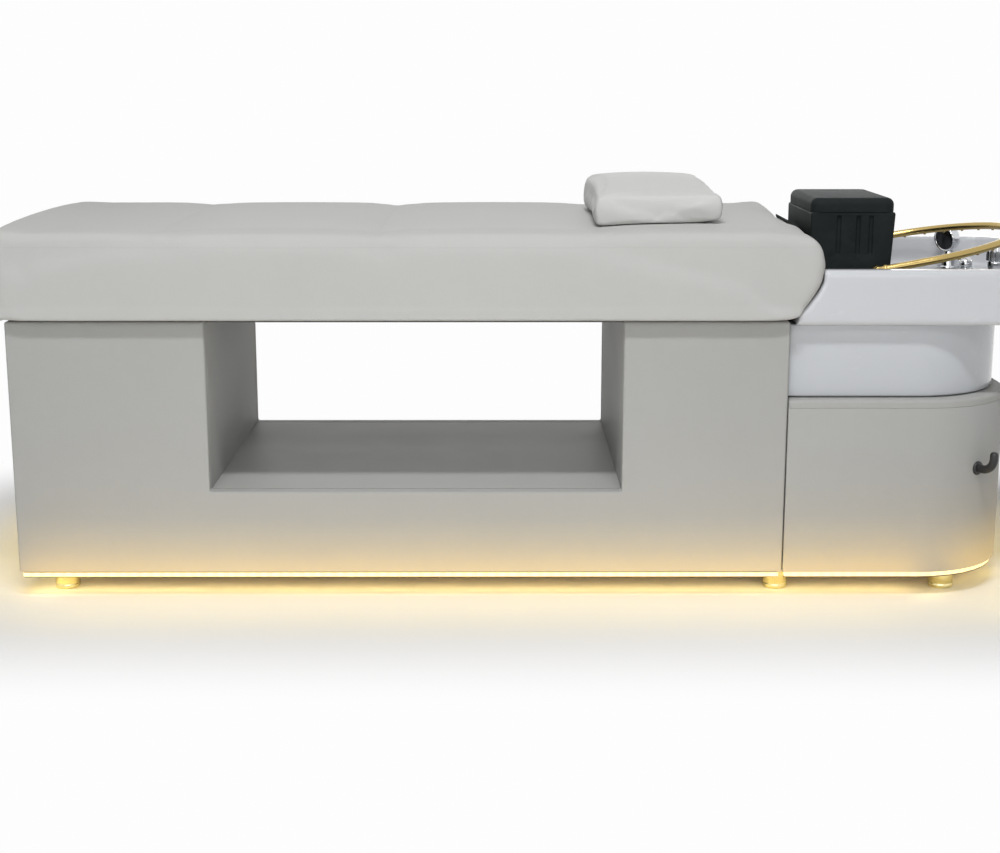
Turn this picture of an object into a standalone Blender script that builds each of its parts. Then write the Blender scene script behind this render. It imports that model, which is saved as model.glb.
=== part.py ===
"""Head spa bed: upholstered cabinets, mattress, basin, water arch and fittings. Metres, +Z up."""
import math

import bmesh
import bpy
from mathutils import Vector
from mathutils.bvhtree import BVHTree

for item in list(bpy.data.objects):
    bpy.data.objects.remove(item, do_unlink=True)

# Driving sizes of the main cabinet
CABINET_LENGTH = 1.546
CABINET_WIDTH = 0.700
CABINET_UNDERSIDE = 0.053
CABINET_TOP = 0.566
PANEL_THICKNESS = 0.030
PANEL_EDGE = 0.008
BOARD_THICKNESS = 0.018
NICHE_LENGTH = 0.827
NICHE_TO_SEAM = 0.327
NICHE_FLOOR_TOP = 0.2215
BATTEN = 0.022

# Driving sizes of the soft parts
MATTRESS_FOOT_OVERHANG = 0.037
MATTRESS_SIDE_OVERHANG = 0.020
MATTRESS_NOSE = 0.062
MATTRESS_LIFT = 0.004
MATTRESS_HEIGHT = 0.180
MATTRESS_CROWN = 0.013
MATTRESS_BOARD_THICKNESS = 0.009
MATTRESS_EDGE_ROUND = 0.060
MATTRESS_RAKE_HEIGHT = 0.072
MATTRESS_DRAW_SHARE = 0.006
MATTRESS_PLAN_SHARE = 0.016
CHANNEL_SHARES = (0.2458, 0.5239, 0.8021)
CHANNEL_DEPTH = 0.010
CHANNEL_WIDTH = 0.060
PILLOW_LENGTH = 0.255
PILLOW_WIDTH = 0.460
PILLOW_HEIGHT = 0.087
PILLOW_TO_SEAM = 0.1215
PILLOW_OFFSET = -0.015
PILLOW_EDGE_ROUND = 0.036

# Driving sizes of the rear cabinet
REAR_PAST_TUB = 0.020
REAR_CORNER = 0.200
REAR_WALL = 0.022
REAR_TOP_THICKNESS = 0.016
SEAM_GAP = 0.002
HATCH_TO_CORNER = 0.032
HATCH_SILL = 0.047
HATCH_HEADROOM = 0.057
HATCH_THICKNESS = 0.018
HATCH_GAP = 0.002

# Driving sizes of the basin and its tub
BASIN_PAST_REAR = 0.150
RIM_LIFT = 0.097
RIM_HEIGHT = 0.1095
BASIN_CORNER = 0.120
RIM_WALL = 0.033
RIM_EDGE = 0.008
RAKE_SHARES = (0.10, 0.35, 0.65)
DECK_DEPTH = 0.067
NECK_LEDGE_LENGTH = 0.074
NECK_LEDGE_DEPTH = 0.027
BOWL_LENGTH = 0.264
BOWL_TO_SIDE = 0.138
BOWL_WALL = 0.012
BOWL_ROUND = 0.055
BOWL_TO_TUB = 0.0197
TUB_PAST_BOWL = 0.060
TUB_SETBACK = 0.025
TUB_CORNER = 0.200
TUB_HEIGHT = 0.1459
TUB_WALL = 0.012
TUB_GAP = 0.0023
PLINTH_SETBACK = 0.012
WELL_INSET = 0.030

# Driving sizes of the water arch
ARCH_TUBE_RADIUS = 0.008
ARCH_TO_BOWL = 0.024
ARCH_LEG = 0.110
ARCH_REST_ANGLE = math.radians(10.7)
ARCH_PIVOT_PAST_BOWL = 0.054
ARCH_PIVOT_LIFT = 0.0525
ARCH_PIN_RADIUS = 0.005
ARCH_PIN_LENGTH = 0.012
ARCH_BRACKET_WIDTH = 0.014
ARCH_BRACKET_BASE = 0.022

# Driving sizes of the feet and the light strips
FOOT_RADIUS = 0.025
FOOT_EDGE = 0.002
FOOT_INSET = 0.080
FOOT_FROM_FOOT_END = 0.076
FOOT_FROM_REAR_END = 0.135
STRIP_HEIGHT = 0.0117
STRIP_WIDTH = 0.012
STRIP_INSET = 0.006

# Driving sizes of the neck rest
NECK_WIDTH = 0.280
NECK_LENGTH = 0.172
NECK_GAP = 0.0095
NECK_LIFT = 0.041
NECK_LID_HEIGHT = 0.0285
NECK_LID_INSET = 0.001
NECK_TAPER = 0.018
NECK_DROP = 0.015
NECK_EDGE = 0.011
FLUTE_RADIUS = 0.0045
FLUTE_SHARES = (0.34, 0.58, 0.70)
FLUTE_TO_TOP = 0.033
FLUTE_TO_LEDGE = 0.036
FLAP_LENGTH = 0.016
FLAP_THICKNESS = 0.006
FLAP_SHARES = (1.0, 0.8, 0.6, 0.45, 0.3, 0.15, 0.0)

# Driving sizes of the hatch hardware
HINGE_RADIUS = 0.0045
HINGE_PIN_RADIUS = 0.0020
HINGE_LENGTH = 0.048
HINGE_LEAF_WIDTH = 0.022
HINGE_LEAF_THICKNESS = 0.0015
HINGE_SHARES = (0.18, 0.82)
KNOB_RADIUS = 0.011
KNOB_LENGTH = 0.020

# Driving sizes of the fittings on the deck
SHOWER_PAST_BOWL = 0.061
SHOWER_TO_SIDE = 0.088
SHOWER_LIFT = 0.065
SHOWER_FACE = (-0.80, -0.55, -0.18)
SHOWER_HEAD_RADIUS = 0.027
SHOWER_HEAD_DEPTH = 0.020
SHOWER_STEM_RADIUS = 0.0100
SHOWER_GRIP_RADIUS = 0.0125
SOCKET_RADIUS = 0.0175
SOCKET_HEIGHT = 0.020
FLANGE_RADIUS = 0.023
FLANGE_HEIGHT = 0.004
MIXER_PAST_BOWL = 0.078
MIXER_OFFSET = 0.150
MIXER_RADIUS = 0.0185
MIXER_HEIGHT = 0.0130
BALL_RADIUS = 0.0140
LEVER_SHELL = 0.0028
LEVER_LENGTH = 0.046
LEVER_RADIUS = 0.0042
VALVE_PAST_BOWL = 0.074
VALVE_OFFSET = -0.080
VALVE_RADIUS = 0.0150
VALVE_HEIGHT = 0.055
VALVE_KNOB_RADIUS = 0.0180
VALVE_KNOB_HEIGHT = 0.031
VALVE_KNOB_FLUTES = 10
FLUTE_DEPTH = 0.002

# Driving sizes of the drain and the water works
DRAIN_SHARE = 0.60
DRAIN_TAIL_RADIUS = 0.0190
DRAIN_TAIL_GAP = 0.0017
DRAIN_MOUTH_RADIUS = 0.0145
DRAIN_FLANGE_RADIUS = 0.030
DRAIN_FLANGE_HEIGHT = 0.003
STRAINER_RADIUS = 0.024
STRAINER_THICKNESS = 0.0025
STRAINER_HOLES = 6
PIPE_RADIUS = 0.0160
PIPE_WALL = 0.0030
TANK_TO_DRAIN = 0.0794
TANK_LENGTH = 0.180
TANK_WIDTH = 0.200
TANK_HEIGHT_SHARE = 0.7118
TANK_EDGE = 0.014
TANK_NECK_HEIGHT = 0.020
TANK_NECK_WALL = 0.005
PUMP_TO_SEAM = 0.105
PUMP_OFFSET = -0.060
PUMP_AXIS_HEIGHT = 0.050
VOLUTE_RADIUS = 0.042
VOLUTE_THICKNESS = 0.030
MOTOR_RADIUS = 0.034
MOTOR_LENGTH = 0.095
HEATER_OFFSET = 0.110
HEATER_RADIUS = 0.035
HEATER_HEIGHT_SHARE = 0.6839
HOSE_RADIUS = 0.009
HOSE_BEND = 0.036

# Driving sizes of the hook, the power inlet and the power switch
HOOK_ANGLE = math.radians(35.0)
HOOK_DROP = 0.147
HOOK_BASE_RADIUS = 0.014
HOOK_BASE_THICKNESS = 0.005
HOOK_REACH = 0.040
HOOK_RISE = 0.040
HOOK_THICKNESS = 0.0085
INLET_TO_SEAM = 0.075
INLET_LIFT = 0.097
INLET_FLANGE = (0.050, 0.034)
INLET_BODY = (0.029, 0.022)
INLET_MOUTH = (0.023, 0.016)
INLET_DEPTH = 0.012
SWITCH_TO_SEAM = 0.135
SWITCH_FLANGE = (0.024, 0.034)
SWITCH_BODY = (0.019, 0.028)
SWITCH_MOUTH = (0.0155, 0.0238)
SWITCH_TILT = math.radians(7.0)
PLATE_THICKNESS = 0.003
BODY_DEPTH = 0.018

# Clearances and repeated small values
FIT = 0.0003
RUNNING = 0.0004
SLIP = 0.0015
OVERRUN = 0.010
FINE_EDGE = 0.0015
WELD = 0.00001

# Heights worked out from the driving sizes
MATTRESS_UNDERSIDE = CABINET_TOP + MATTRESS_LIFT
BASIN_RIM_TOP = MATTRESS_UNDERSIDE + RIM_LIFT
BASIN_RIM_UNDERSIDE = BASIN_RIM_TOP - RIM_HEIGHT
DECK_TOP = BASIN_RIM_TOP - DECK_DEPTH
NECK_LEDGE_TOP = BASIN_RIM_TOP - NECK_LEDGE_DEPTH
NECK_TOP = MATTRESS_UNDERSIDE + MATTRESS_HEIGHT + NECK_LIFT
TUB_UNDERSIDE = BASIN_RIM_UNDERSIDE - FIT - TUB_HEIGHT
BOWL_FLOOR_TOP = TUB_UNDERSIDE + TUB_WALL + BOWL_TO_TUB + BOWL_WALL
DRAIN_TAIL_LENGTH = BOWL_WALL + BOWL_TO_TUB - DRAIN_TAIL_GAP
ARCH_PIVOT_HEIGHT = DECK_TOP + ARCH_PIVOT_LIFT
REAR_TOP = TUB_UNDERSIDE - TUB_GAP
REAR_TOP_UNDERSIDE = REAR_TOP - REAR_TOP_THICKNESS
HATCH_UNDERSIDE = CABINET_UNDERSIDE + HATCH_SILL
HATCH_HEIGHT = REAR_TOP_UNDERSIDE - HATCH_HEADROOM - HATCH_UNDERSIDE
HOOK_HEIGHT = REAR_TOP - HOOK_DROP
INLET_HEIGHT = CABINET_UNDERSIDE + INLET_LIFT
BAY_FLOOR = CABINET_UNDERSIDE + BOARD_THICKNESS + FIT
TANK_HEIGHT = (REAR_TOP_UNDERSIDE - BAY_FLOOR) * TANK_HEIGHT_SHARE
HEATER_HEIGHT = (REAR_TOP_UNDERSIDE - BAY_FLOOR) * HEATER_HEIGHT_SHARE
MATTRESS_BOARD_TOP = MATTRESS_UNDERSIDE - FIT
MATTRESS_BOARD_BOTTOM = MATTRESS_BOARD_TOP - MATTRESS_BOARD_THICKNESS
SUPPORT_TOP = MATTRESS_BOARD_BOTTOM - FIT

# Lengths, widths and places worked out from the driving sizes
BOWL_TO_SEAM = MATTRESS_NOSE + NECK_LEDGE_LENGTH
TUB_LENGTH = BOWL_TO_SEAM + BOWL_LENGTH + TUB_PAST_BOWL
REAR_LENGTH = TUB_LENGTH + REAR_PAST_TUB
BASIN_LENGTH = REAR_LENGTH + BASIN_PAST_REAR
BOWL_WIDTH = CABINET_WIDTH - 2 * BOWL_TO_SIDE
ARCH_HALF_WIDTH = BOWL_WIDTH / 2 + ARCH_TO_BOWL
HATCH_WIDTH = CABINET_WIDTH - 2 * (REAR_CORNER + HATCH_TO_CORNER)
SEAM_X = (CABINET_LENGTH + MATTRESS_FOOT_OVERHANG - BASIN_LENGTH) / 2
FOOT_END_X = SEAM_X - CABINET_LENGTH
HALF_WIDTH = CABINET_WIDTH / 2
REAR_END_X = SEAM_X + REAR_LENGTH
BASIN_END_X = SEAM_X + BASIN_LENGTH
NICHE_HEAD_X = SEAM_X - NICHE_TO_SEAM
NICHE_FOOT_X = NICHE_HEAD_X - NICHE_LENGTH
INNER_HALF_WIDTH = HALF_WIDTH - PANEL_THICKNESS
BOWL_START_X = SEAM_X + BOWL_TO_SEAM
BOWL_END_X = BOWL_START_X + BOWL_LENGTH
DRAIN_X = BOWL_START_X + BOWL_LENGTH * DRAIN_SHARE
ARCH_PIVOT_X = BOWL_START_X + ARCH_PIVOT_PAST_BOWL

PARTS = bpy.data.collections.new("head_spa_bed")
CUTTERS = bpy.data.collections.new("cutters")
for group in (PARTS, CUTTERS):
    bpy.context.scene.collection.children.link(group)


def finish(name, colour, roughness, metallic=0.0):
    """A Principled material with one colour."""
    material = bpy.data.materials.new(name)
    material.use_nodes = True
    shader = material.node_tree.nodes["Principled BSDF"]
    shader.inputs["Base Color"].default_value = (*colour, 1.0)
    shader.inputs["Roughness"].default_value = roughness
    shader.inputs["Metallic"].default_value = metallic
    return material


LEATHERETTE = ("leatherette", (0.56, 0.56, 0.54), 0.45)
CABINET_HIDE = ("cabinet_hide", (0.42, 0.42, 0.41), 0.5)
PLYWOOD = ("plywood", (0.55, 0.42, 0.28), 0.7)
WHITE_GLAZE = ("white_glaze", (0.78, 0.80, 0.82), 0.08)
WHITE_SHELL = ("white_shell", (0.74, 0.77, 0.80), 0.15)
GOLD = ("gold", (0.80, 0.58, 0.25), 0.2, 1.0)
CHROME = ("chrome", (0.75, 0.76, 0.78), 0.08, 1.0)
BLACK_RUBBER = ("black_rubber", (0.015, 0.017, 0.017), 0.5)
BLACK_PLASTIC = ("black_plastic", (0.02, 0.02, 0.02), 0.4)
WARM_LIGHT = ("warm_light", (1.0, 0.86, 0.55), 0.5)
TANK_PLASTIC = ("tank_plastic", (0.80, 0.82, 0.82), 0.4)
PIPE_GREY = ("pipe_grey", (0.35, 0.36, 0.37), 0.5)
STEEL = ("steel", (0.55, 0.55, 0.56), 0.3, 1.0)
HOSE_RUBBER = ("hose_rubber", (0.05, 0.05, 0.05), 0.6)


def add_object(name, mesh, look, location=(0, 0, 0)):
    """Link a mesh as a part, or as a cutter where it has no look."""
    made = bpy.data.objects.new(name, mesh)
    made.location = location
    if look is None:
        CUTTERS.objects.link(made)
        made.hide_render = True
        made.display_type = "WIRE"
    else:
        PARTS.objects.link(made)
        mesh.materials.append(finish(name, *look[1:]))
    return made


def bevel(target, width, segments=2, angle=30.0):
    """Round every edge sharper than the angle."""
    if width > 0:
        modifier = target.modifiers.new("edge", "BEVEL")
        modifier.width = width
        modifier.segments = segments
        modifier.limit_method = "ANGLE"
        modifier.angle_limit = math.radians(angle)
    return target


def box(name, low, high, look=None, edge=0.0, segments=2):
    """A block between two corners, with its origin at its centre."""
    low, high = Vector(low), Vector(high)
    work = bmesh.new()
    bmesh.ops.create_cube(work, size=1.0)
    bmesh.ops.scale(work, vec=high - low, verts=work.verts)
    mesh = bpy.data.meshes.new(name)
    work.to_mesh(mesh)
    work.free()
    return bevel(add_object(name, mesh, look, (low + high) / 2), edge, segments)


def smooth(target, angle=35.0):
    """Shade a round piece smooth and keep its sharp edges."""
    target.data.shade_smooth()
    target.data.set_sharp_from_angle(angle=math.radians(angle))
    return target


def rounded(points, radius, steps=6):
    """An outline with every corner rounded; radius is one value or one for each corner."""
    radii = radius if isinstance(radius, (list, tuple)) else [radius] * len(points)
    outline = []
    for index, corner in enumerate(points):
        corner = Vector(corner)
        before = (Vector(points[index - 1]) - corner).normalized()
        after = (Vector(points[(index + 1) % len(points)]) - corner).normalized()
        if radii[index] <= 0:
            outline.append(tuple(corner))
            continue
        half = before.angle(after) / 2
        centre = corner + (before + after).normalized() * (radii[index] / math.sin(half))
        start = corner + before * (radii[index] / math.tan(half)) - centre
        end = corner + after * (radii[index] / math.tan(half)) - centre
        sweep = start.angle_signed(end)
        for step in range(steps + 1):
            turn = -sweep * step / steps
            outline.append((
                centre.x + start.x * math.cos(turn) - start.y * math.sin(turn),
                centre.y + start.x * math.sin(turn) + start.y * math.cos(turn),
            ))
    return outline


def as_mesh(curve_object, name, look):
    """Turn a curve object into a welded mesh object in the same place."""
    bpy.context.view_layer.update()
    seen = curve_object.evaluated_get(bpy.context.evaluated_depsgraph_get())
    mesh = bpy.data.meshes.new_from_object(seen)
    work = bmesh.new()
    work.from_mesh(mesh)
    bmesh.ops.remove_doubles(work, verts=work.verts, dist=WELD)
    bmesh.ops.dissolve_limit(work, angle_limit=math.radians(0.5), verts=work.verts, edges=work.edges)
    bmesh.ops.recalc_face_normals(work, faces=work.faces)
    work.to_mesh(mesh)
    work.free()
    mesh.materials.clear()
    made = add_object(name, mesh, look)
    made.matrix_world = curve_object.matrix_world
    curve = curve_object.data
    bpy.data.objects.remove(curve_object, do_unlink=True)
    bpy.data.curves.remove(curve)
    return made


PLANE_TURNS = {
    "XY": (0, 0, 0),
    "XZ": (math.pi / 2, 0, 0),
    "YZ": (math.pi / 2, 0, math.pi / 2),
}


def plate(name, outline, start, end, look=None, plane="XY", edge=0.0, segments=2):
    """A flat outline in a plane, extruded from start to end across that plane."""
    curve = bpy.data.curves.new(name + "_outline", "CURVE")
    curve.dimensions = "2D"
    curve.fill_mode = "BOTH"
    curve.extrude = (end - start) / 2
    spline = curve.splines.new("POLY")
    spline.points.add(len(outline) - 1)
    for point, place in zip(spline.points, outline):
        point.co = (place[0], place[1], 0.0, 1.0)
    spline.use_cyclic_u = True
    drawn = bpy.data.objects.new(name + "_outline", curve)
    bpy.context.scene.collection.objects.link(drawn)
    drawn.rotation_euler = PLANE_TURNS[plane]
    middle = (start + end) / 2
    drawn.location = {"XY": (0, 0, middle), "XZ": (0, middle, 0), "YZ": (middle, 0, 0)}[plane]
    return bevel(as_mesh(drawn, name, look), edge, segments)


def rectangle(low, high):
    """The four corners of a flat rectangle."""
    return [(low[0], low[1]), (high[0], low[1]), (high[0], high[1]), (low[0], high[1])]


def turned(name, profile, location, look=None, steps=24, turn=(0, 0, 0)):
    """A profile of (radius, height) points, turned about its own Z axis."""
    mesh = bpy.data.meshes.new(name)
    points = [(radius, 0.0, height) for radius, height in profile]
    closed = profile[0][0] > 0 and profile[-1][0] > 0
    edges = [(index, index + 1) for index in range(len(points) - 1)]
    if closed:
        edges.append((len(points) - 1, 0))
    mesh.from_pydata(points, edges, [])
    made = add_object(name, mesh, look, location)
    made.rotation_euler = turn
    screw = made.modifiers.new("turn", "SCREW")
    screw.angle = 2 * math.pi
    screw.steps = steps
    screw.render_steps = steps
    screw.use_merge_vertices = True
    screw.merge_threshold = WELD
    screw.use_smooth_shade = True
    return made


def disc(name, radius, low, high, place, look=None, steps=24, edge=0.0, turn=(0, 0, 0)):
    """A plain turned cylinder with chamfered ends, from low to high along its axis."""
    if edge > 0:
        profile = [(0, high), (radius - edge, high), (radius, high - edge),
                   (radius, low + edge), (radius - edge, low), (0, low)]
    else:
        profile = [(0, high), (radius, high), (radius, low), (0, low)]
    return turned(name, profile, place, look, steps, turn)


def tube(name, points, radius, look=None, resolution=2):
    """A round bar along a list of points."""
    curve = bpy.data.curves.new(name + "_path", "CURVE")
    curve.dimensions = "3D"
    curve.bevel_depth = radius
    curve.bevel_resolution = resolution
    curve.use_fill_caps = True
    spline = curve.splines.new("POLY")
    spline.points.add(len(points) - 1)
    for point, place in zip(spline.points, points):
        point.co = (*place, 1.0)
    drawn = bpy.data.objects.new(name + "_path", curve)
    bpy.context.scene.collection.objects.link(drawn)
    return smooth(as_mesh(drawn, name, look))


def boolean(target, operation, *others):
    """Cut or join the target with other solids."""
    for other in others:
        modifier = target.modifiers.new(other.name, "BOOLEAN")
        modifier.operation = operation
        modifier.solver = "EXACT"
        modifier.object = other
    return target


def cut(target, *others):
    return boolean(target, "DIFFERENCE", *others)


def join(target, *others):
    return boolean(target, "UNION", *others)


def attach(child, parent):
    """Parent a piece to another and leave it where it is."""
    bpy.context.view_layer.update()
    child.parent = parent
    child.matrix_parent_inverse = parent.matrix_world.inverted()


def set_origin(target, place):
    """Move an object's origin and leave its shape where it is."""
    bpy.context.view_layer.update()
    shift = target.matrix_world.inverted() @ Vector(place)
    for vertex in target.data.vertices:
        vertex.co -= shift
    target.location = place
    return target


def fit_cage(target, low, high):
    """Stretch a subdivided cage so that its smooth surface just fills a box."""
    bpy.context.view_layer.update()
    seen = target.evaluated_get(bpy.context.evaluated_depsgraph_get())
    mesh = seen.to_mesh()
    for axis in range(3):
        values = [vertex.co[axis] for vertex in mesh.vertices]
        least, most = min(values), max(values)
        factor = (high[axis] - low[axis]) / (most - least)
        for vertex in target.data.vertices:
            vertex.co[axis] = low[axis] + (vertex.co[axis] - least) * factor
    seen.to_mesh_clear()
    return target


def cage(name, cuts, shape, look, levels=1):
    """A cube cut at shares of its sides, pushed to its form and subdivided."""
    work = bmesh.new()
    bmesh.ops.create_cube(work, size=1.0)
    for axis, shares in enumerate(cuts):
        normal = [0.0, 0.0, 0.0]
        normal[axis] = 1.0
        for share in shares:
            bmesh.ops.bisect_plane(
                work, geom=work.verts[:] + work.edges[:] + work.faces[:],
                plane_co=[(share - 0.5) * part for part in normal], plane_no=normal, dist=WELD / 10)
    for vertex in work.verts:
        vertex.co = shape(*(value + 0.5 for value in vertex.co))
    mesh = bpy.data.meshes.new(name)
    work.to_mesh(mesh)
    work.free()
    mesh.shade_smooth()
    made = add_object(name, mesh, look)
    modifier = made.modifiers.new("soft", "SUBSURF")
    modifier.levels = levels
    modifier.render_levels = levels
    return made


def cabinet():
    """Front and back panels with the niche, the panels between them and the base board."""
    niche_head, niche_foot = NICHE_HEAD_X, NICHE_FOOT_X
    outline = [
        (FOOT_END_X, CABINET_UNDERSIDE), (SEAM_X, CABINET_UNDERSIDE), (SEAM_X, CABINET_TOP),
        (niche_head, CABINET_TOP), (niche_head, NICHE_FLOOR_TOP),
        (niche_foot, NICHE_FLOOR_TOP), (niche_foot, CABINET_TOP), (FOOT_END_X, CABINET_TOP),
    ]
    plate("front_panel", outline, -HALF_WIDTH, -INNER_HALF_WIDTH, CABINET_HIDE, "XZ", PANEL_EDGE, 2)
    plate("back_panel", outline, INNER_HALF_WIDTH, HALF_WIDTH, CABINET_HIDE, "XZ", PANEL_EDGE, 2)

    reach = INNER_HALF_WIDTH - FIT
    foot_inner_x = FOOT_END_X + PANEL_THICKNESS
    head_inner_x = SEAM_X - PANEL_THICKNESS
    box("foot_end_panel", (FOOT_END_X, -reach, CABINET_UNDERSIDE),
        (foot_inner_x, reach, CABINET_TOP), CABINET_HIDE, PANEL_EDGE / 4)
    box("head_end_panel", (head_inner_x, -reach, CABINET_UNDERSIDE), (SEAM_X, reach, SUPPORT_TOP),
        CABINET_HIDE, FINE_EDGE)
    box("base_board", (foot_inner_x + FIT, -reach, CABINET_UNDERSIDE),
        (head_inner_x - FIT, reach, CABINET_UNDERSIDE + BOARD_THICKNESS), PLYWOOD)
    floor_bottom = NICHE_FLOOR_TOP - BOARD_THICKNESS
    base_top = CABINET_UNDERSIDE + BOARD_THICKNESS + FIT
    box("niche_floor", (niche_foot, -reach, floor_bottom), (niche_head, reach, NICHE_FLOOR_TOP),
        CABINET_HIDE)
    box("niche_foot_wall", (niche_foot - FIT - BOARD_THICKNESS, -reach, base_top),
        (niche_foot - FIT, reach, SUPPORT_TOP), CABINET_HIDE)
    box("niche_head_wall", (niche_head + FIT, -reach, base_top),
        (niche_head + FIT + BOARD_THICKNESS, reach, SUPPORT_TOP), CABINET_HIDE)
    box("foot_batten", (foot_inner_x + FIT, -reach, SUPPORT_TOP - BATTEN),
        (foot_inner_x + FIT + BATTEN, reach, SUPPORT_TOP), PLYWOOD, FINE_EDGE)
    box("mattress_board", (foot_inner_x + FIT, -reach, MATTRESS_BOARD_BOTTOM),
        (SEAM_X, reach, MATTRESS_BOARD_TOP), PLYWOOD)


def head_profile(height_share):
    """How far the mattress end stands past the seam, from its underside up to its top."""
    raked = MATTRESS_RAKE_HEIGHT / MATTRESS_HEIGHT
    if height_share < raked:
        return MATTRESS_NOSE * (height_share / raked) ** 0.8
    top_share = max(0.0, height_share - 0.72) / 0.28
    return MATTRESS_NOSE - MATTRESS_EDGE_ROUND / 2 * top_share ** 2


def mattress():
    """The mattress: crowned top, drawn-in sides, sewn cross channels and a raked head end."""
    foot_x = FOOT_END_X - MATTRESS_FOOT_OVERHANG
    head_x = SEAM_X + MATTRESS_NOSE
    length = SEAM_X - foot_x
    half = HALF_WIDTH + MATTRESS_SIDE_OVERHANG
    channels = [SEAM_X - CABINET_LENGTH * share for share in CHANNEL_SHARES]
    stations = [foot_x + MATTRESS_EDGE_ROUND * 0.45, foot_x + MATTRESS_EDGE_ROUND * 1.6]
    for channel in reversed(channels):
        stations += [channel - CHANNEL_WIDTH / 2, channel, channel + CHANNEL_WIDTH / 2]
    head_start = SEAM_X - MATTRESS_EDGE_ROUND
    stations += [head_start, SEAM_X - MATTRESS_EDGE_ROUND * 0.35, SEAM_X - MATTRESS_EDGE_ROUND * 0.1]
    length_shares = [(place - foot_x) / length for place in stations]
    side_share = MATTRESS_EDGE_ROUND / 2 / (2 * half)
    width_shares = [side_share, 0.28, 0.72, 1 - side_share]
    height_shares = [0.025, 0.40, 0.80]

    def shape(along, across, up):
        x = foot_x + along * length
        rising = max(0.0, (foot_x + along * length - head_start) / MATTRESS_EDGE_ROUND)
        x += head_profile(up) * rising ** 2
        falling = max(0.0, 1 - along / length_shares[1])
        x += MATTRESS_EDGE_ROUND * 0.3 * falling ** 2 * (max(0.0, up - 0.7) / 0.3 + (1 - up) * 0.15)
        side = 2 * across - 1
        drawn_in = MATTRESS_DRAW_SHARE * (1 - (2 * along - 1) ** 8) * (2 * up - 1) ** 2
        plan_round = MATTRESS_PLAN_SHARE * (falling ** 2 + rising ** 2)
        y = side * (half - (drawn_in + plan_round) * half)
        z = MATTRESS_UNDERSIDE + up * (MATTRESS_HEIGHT - MATTRESS_CROWN)
        if up > 0.99:
            z += MATTRESS_CROWN * (1 - side ** 2)
            z -= MATTRESS_EDGE_ROUND * 0.12 * (falling ** 2 + rising ** 2)
            for channel in channels:
                if abs(foot_x + along * length - channel) < CHANNEL_WIDTH / 4:
                    z -= CHANNEL_DEPTH
        return x, y, z

    made = cage("mattress", (length_shares, width_shares, height_shares), shape, LEATHERETTE)
    top = MATTRESS_UNDERSIDE + MATTRESS_HEIGHT
    return fit_cage(made, (foot_x, -half, MATTRESS_UNDERSIDE), (head_x, half, top))


def surface_below(target):
    """A function that gives the height of an object's top at a place."""
    bpy.context.view_layer.update()
    tree = BVHTree.FromObject(target, bpy.context.evaluated_depsgraph_get())

    def height(x, y):
        hit = tree.ray_cast(Vector((x, y, 2 * CABINET_TOP)), Vector((0, 0, -1)))[0]
        return hit.z

    return height


def pillow(height_at):
    """The loose pillow, crowned, with its underside on the mattress."""
    low_x = SEAM_X - PILLOW_TO_SEAM - PILLOW_LENGTH
    low_y = PILLOW_OFFSET - PILLOW_WIDTH / 2
    edge_x = PILLOW_EDGE_ROUND / PILLOW_LENGTH
    edge_y = PILLOW_EDGE_ROUND / PILLOW_WIDTH

    def shape(along, across, up):
        side_x, side_y = 2 * along - 1, 2 * across - 1
        pull = 1 - 0.06 * (1 - abs(side_y)) * side_x ** 2
        x = low_x + PILLOW_LENGTH * (0.5 + side_x / 2 * pull)
        y = low_y + PILLOW_WIDTH * (0.5 + side_y / 2 * (1 - 0.03 * (1 - side_x ** 2)))
        rest = height_at(x, y) + SLIP + 2 * FIT
        crown = (1 - side_x ** 4) * (1 - side_y ** 4)
        thick = PILLOW_HEIGHT * (0.86 + 0.14 * crown)
        inset = 0.06 * (2 * up - 1) ** 2
        x += (low_x + PILLOW_LENGTH / 2 - x) * inset
        y += (low_y + PILLOW_WIDTH / 2 - y) * inset / 2
        return x, y, rest + up * thick

    shares = ([edge_x, 0.5, 1 - edge_x], [edge_y / 2, 0.27, 0.5, 0.73, 1 - edge_y / 2], [0.12, 0.5, 0.88])
    made = cage("pillow", shares, shape, LEATHERETTE)
    return set_origin(made, (low_x + PILLOW_LENGTH / 2, PILLOW_OFFSET, height_at(low_x, PILLOW_OFFSET)))


def rear_plan(setback=0.0, start=SEAM_X + SEAM_GAP, length=None, corner=None, half=None):
    """The plan of the rear cabinet or tub: square at the seam, round at the head end."""
    end = (REAR_END_X if length is None else SEAM_X + length) - setback
    half = (HALF_WIDTH if half is None else half) - setback
    radius = (REAR_CORNER if corner is None else corner) - setback
    corners = [(start, -half), (end, -half), (end, half), (start, half)]
    return rounded(corners, [0, radius, radius, 0], 9)


def rear_cabinet():
    """The rear cabinet: a bent shell with a hatch opening, its base and its top board."""
    shell = plate("rear_shell", rear_plan(), CABINET_UNDERSIDE, REAR_TOP_UNDERSIDE - FIT, CABINET_HIDE,
                  edge=PANEL_EDGE / 4)
    inside = rear_plan(REAR_WALL, start=SEAM_X + SEAM_GAP - OVERRUN)
    hollow = plate("rear_hollow", inside, CABINET_UNDERSIDE - OVERRUN, REAR_TOP, None)
    gap = HATCH_GAP
    opening_low = (REAR_END_X - 2 * REAR_WALL, -HATCH_WIDTH / 2 - gap, HATCH_UNDERSIDE - gap)
    opening_high = (REAR_END_X + OVERRUN, HATCH_WIDTH / 2 + gap, HATCH_UNDERSIDE + HATCH_HEIGHT + gap)
    cut(shell, hollow, box("hatch_opening", opening_low, opening_high))

    plate("rear_base", rear_plan(REAR_WALL + FIT), CABINET_UNDERSIDE, CABINET_UNDERSIDE + BOARD_THICKNESS,
          PLYWOOD)
    lid = plate("rear_top", rear_plan(), REAR_TOP_UNDERSIDE, REAR_TOP, CABINET_HIDE,
                edge=REAR_TOP_THICKNESS * 0.45, segments=3)
    return shell, lid


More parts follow.
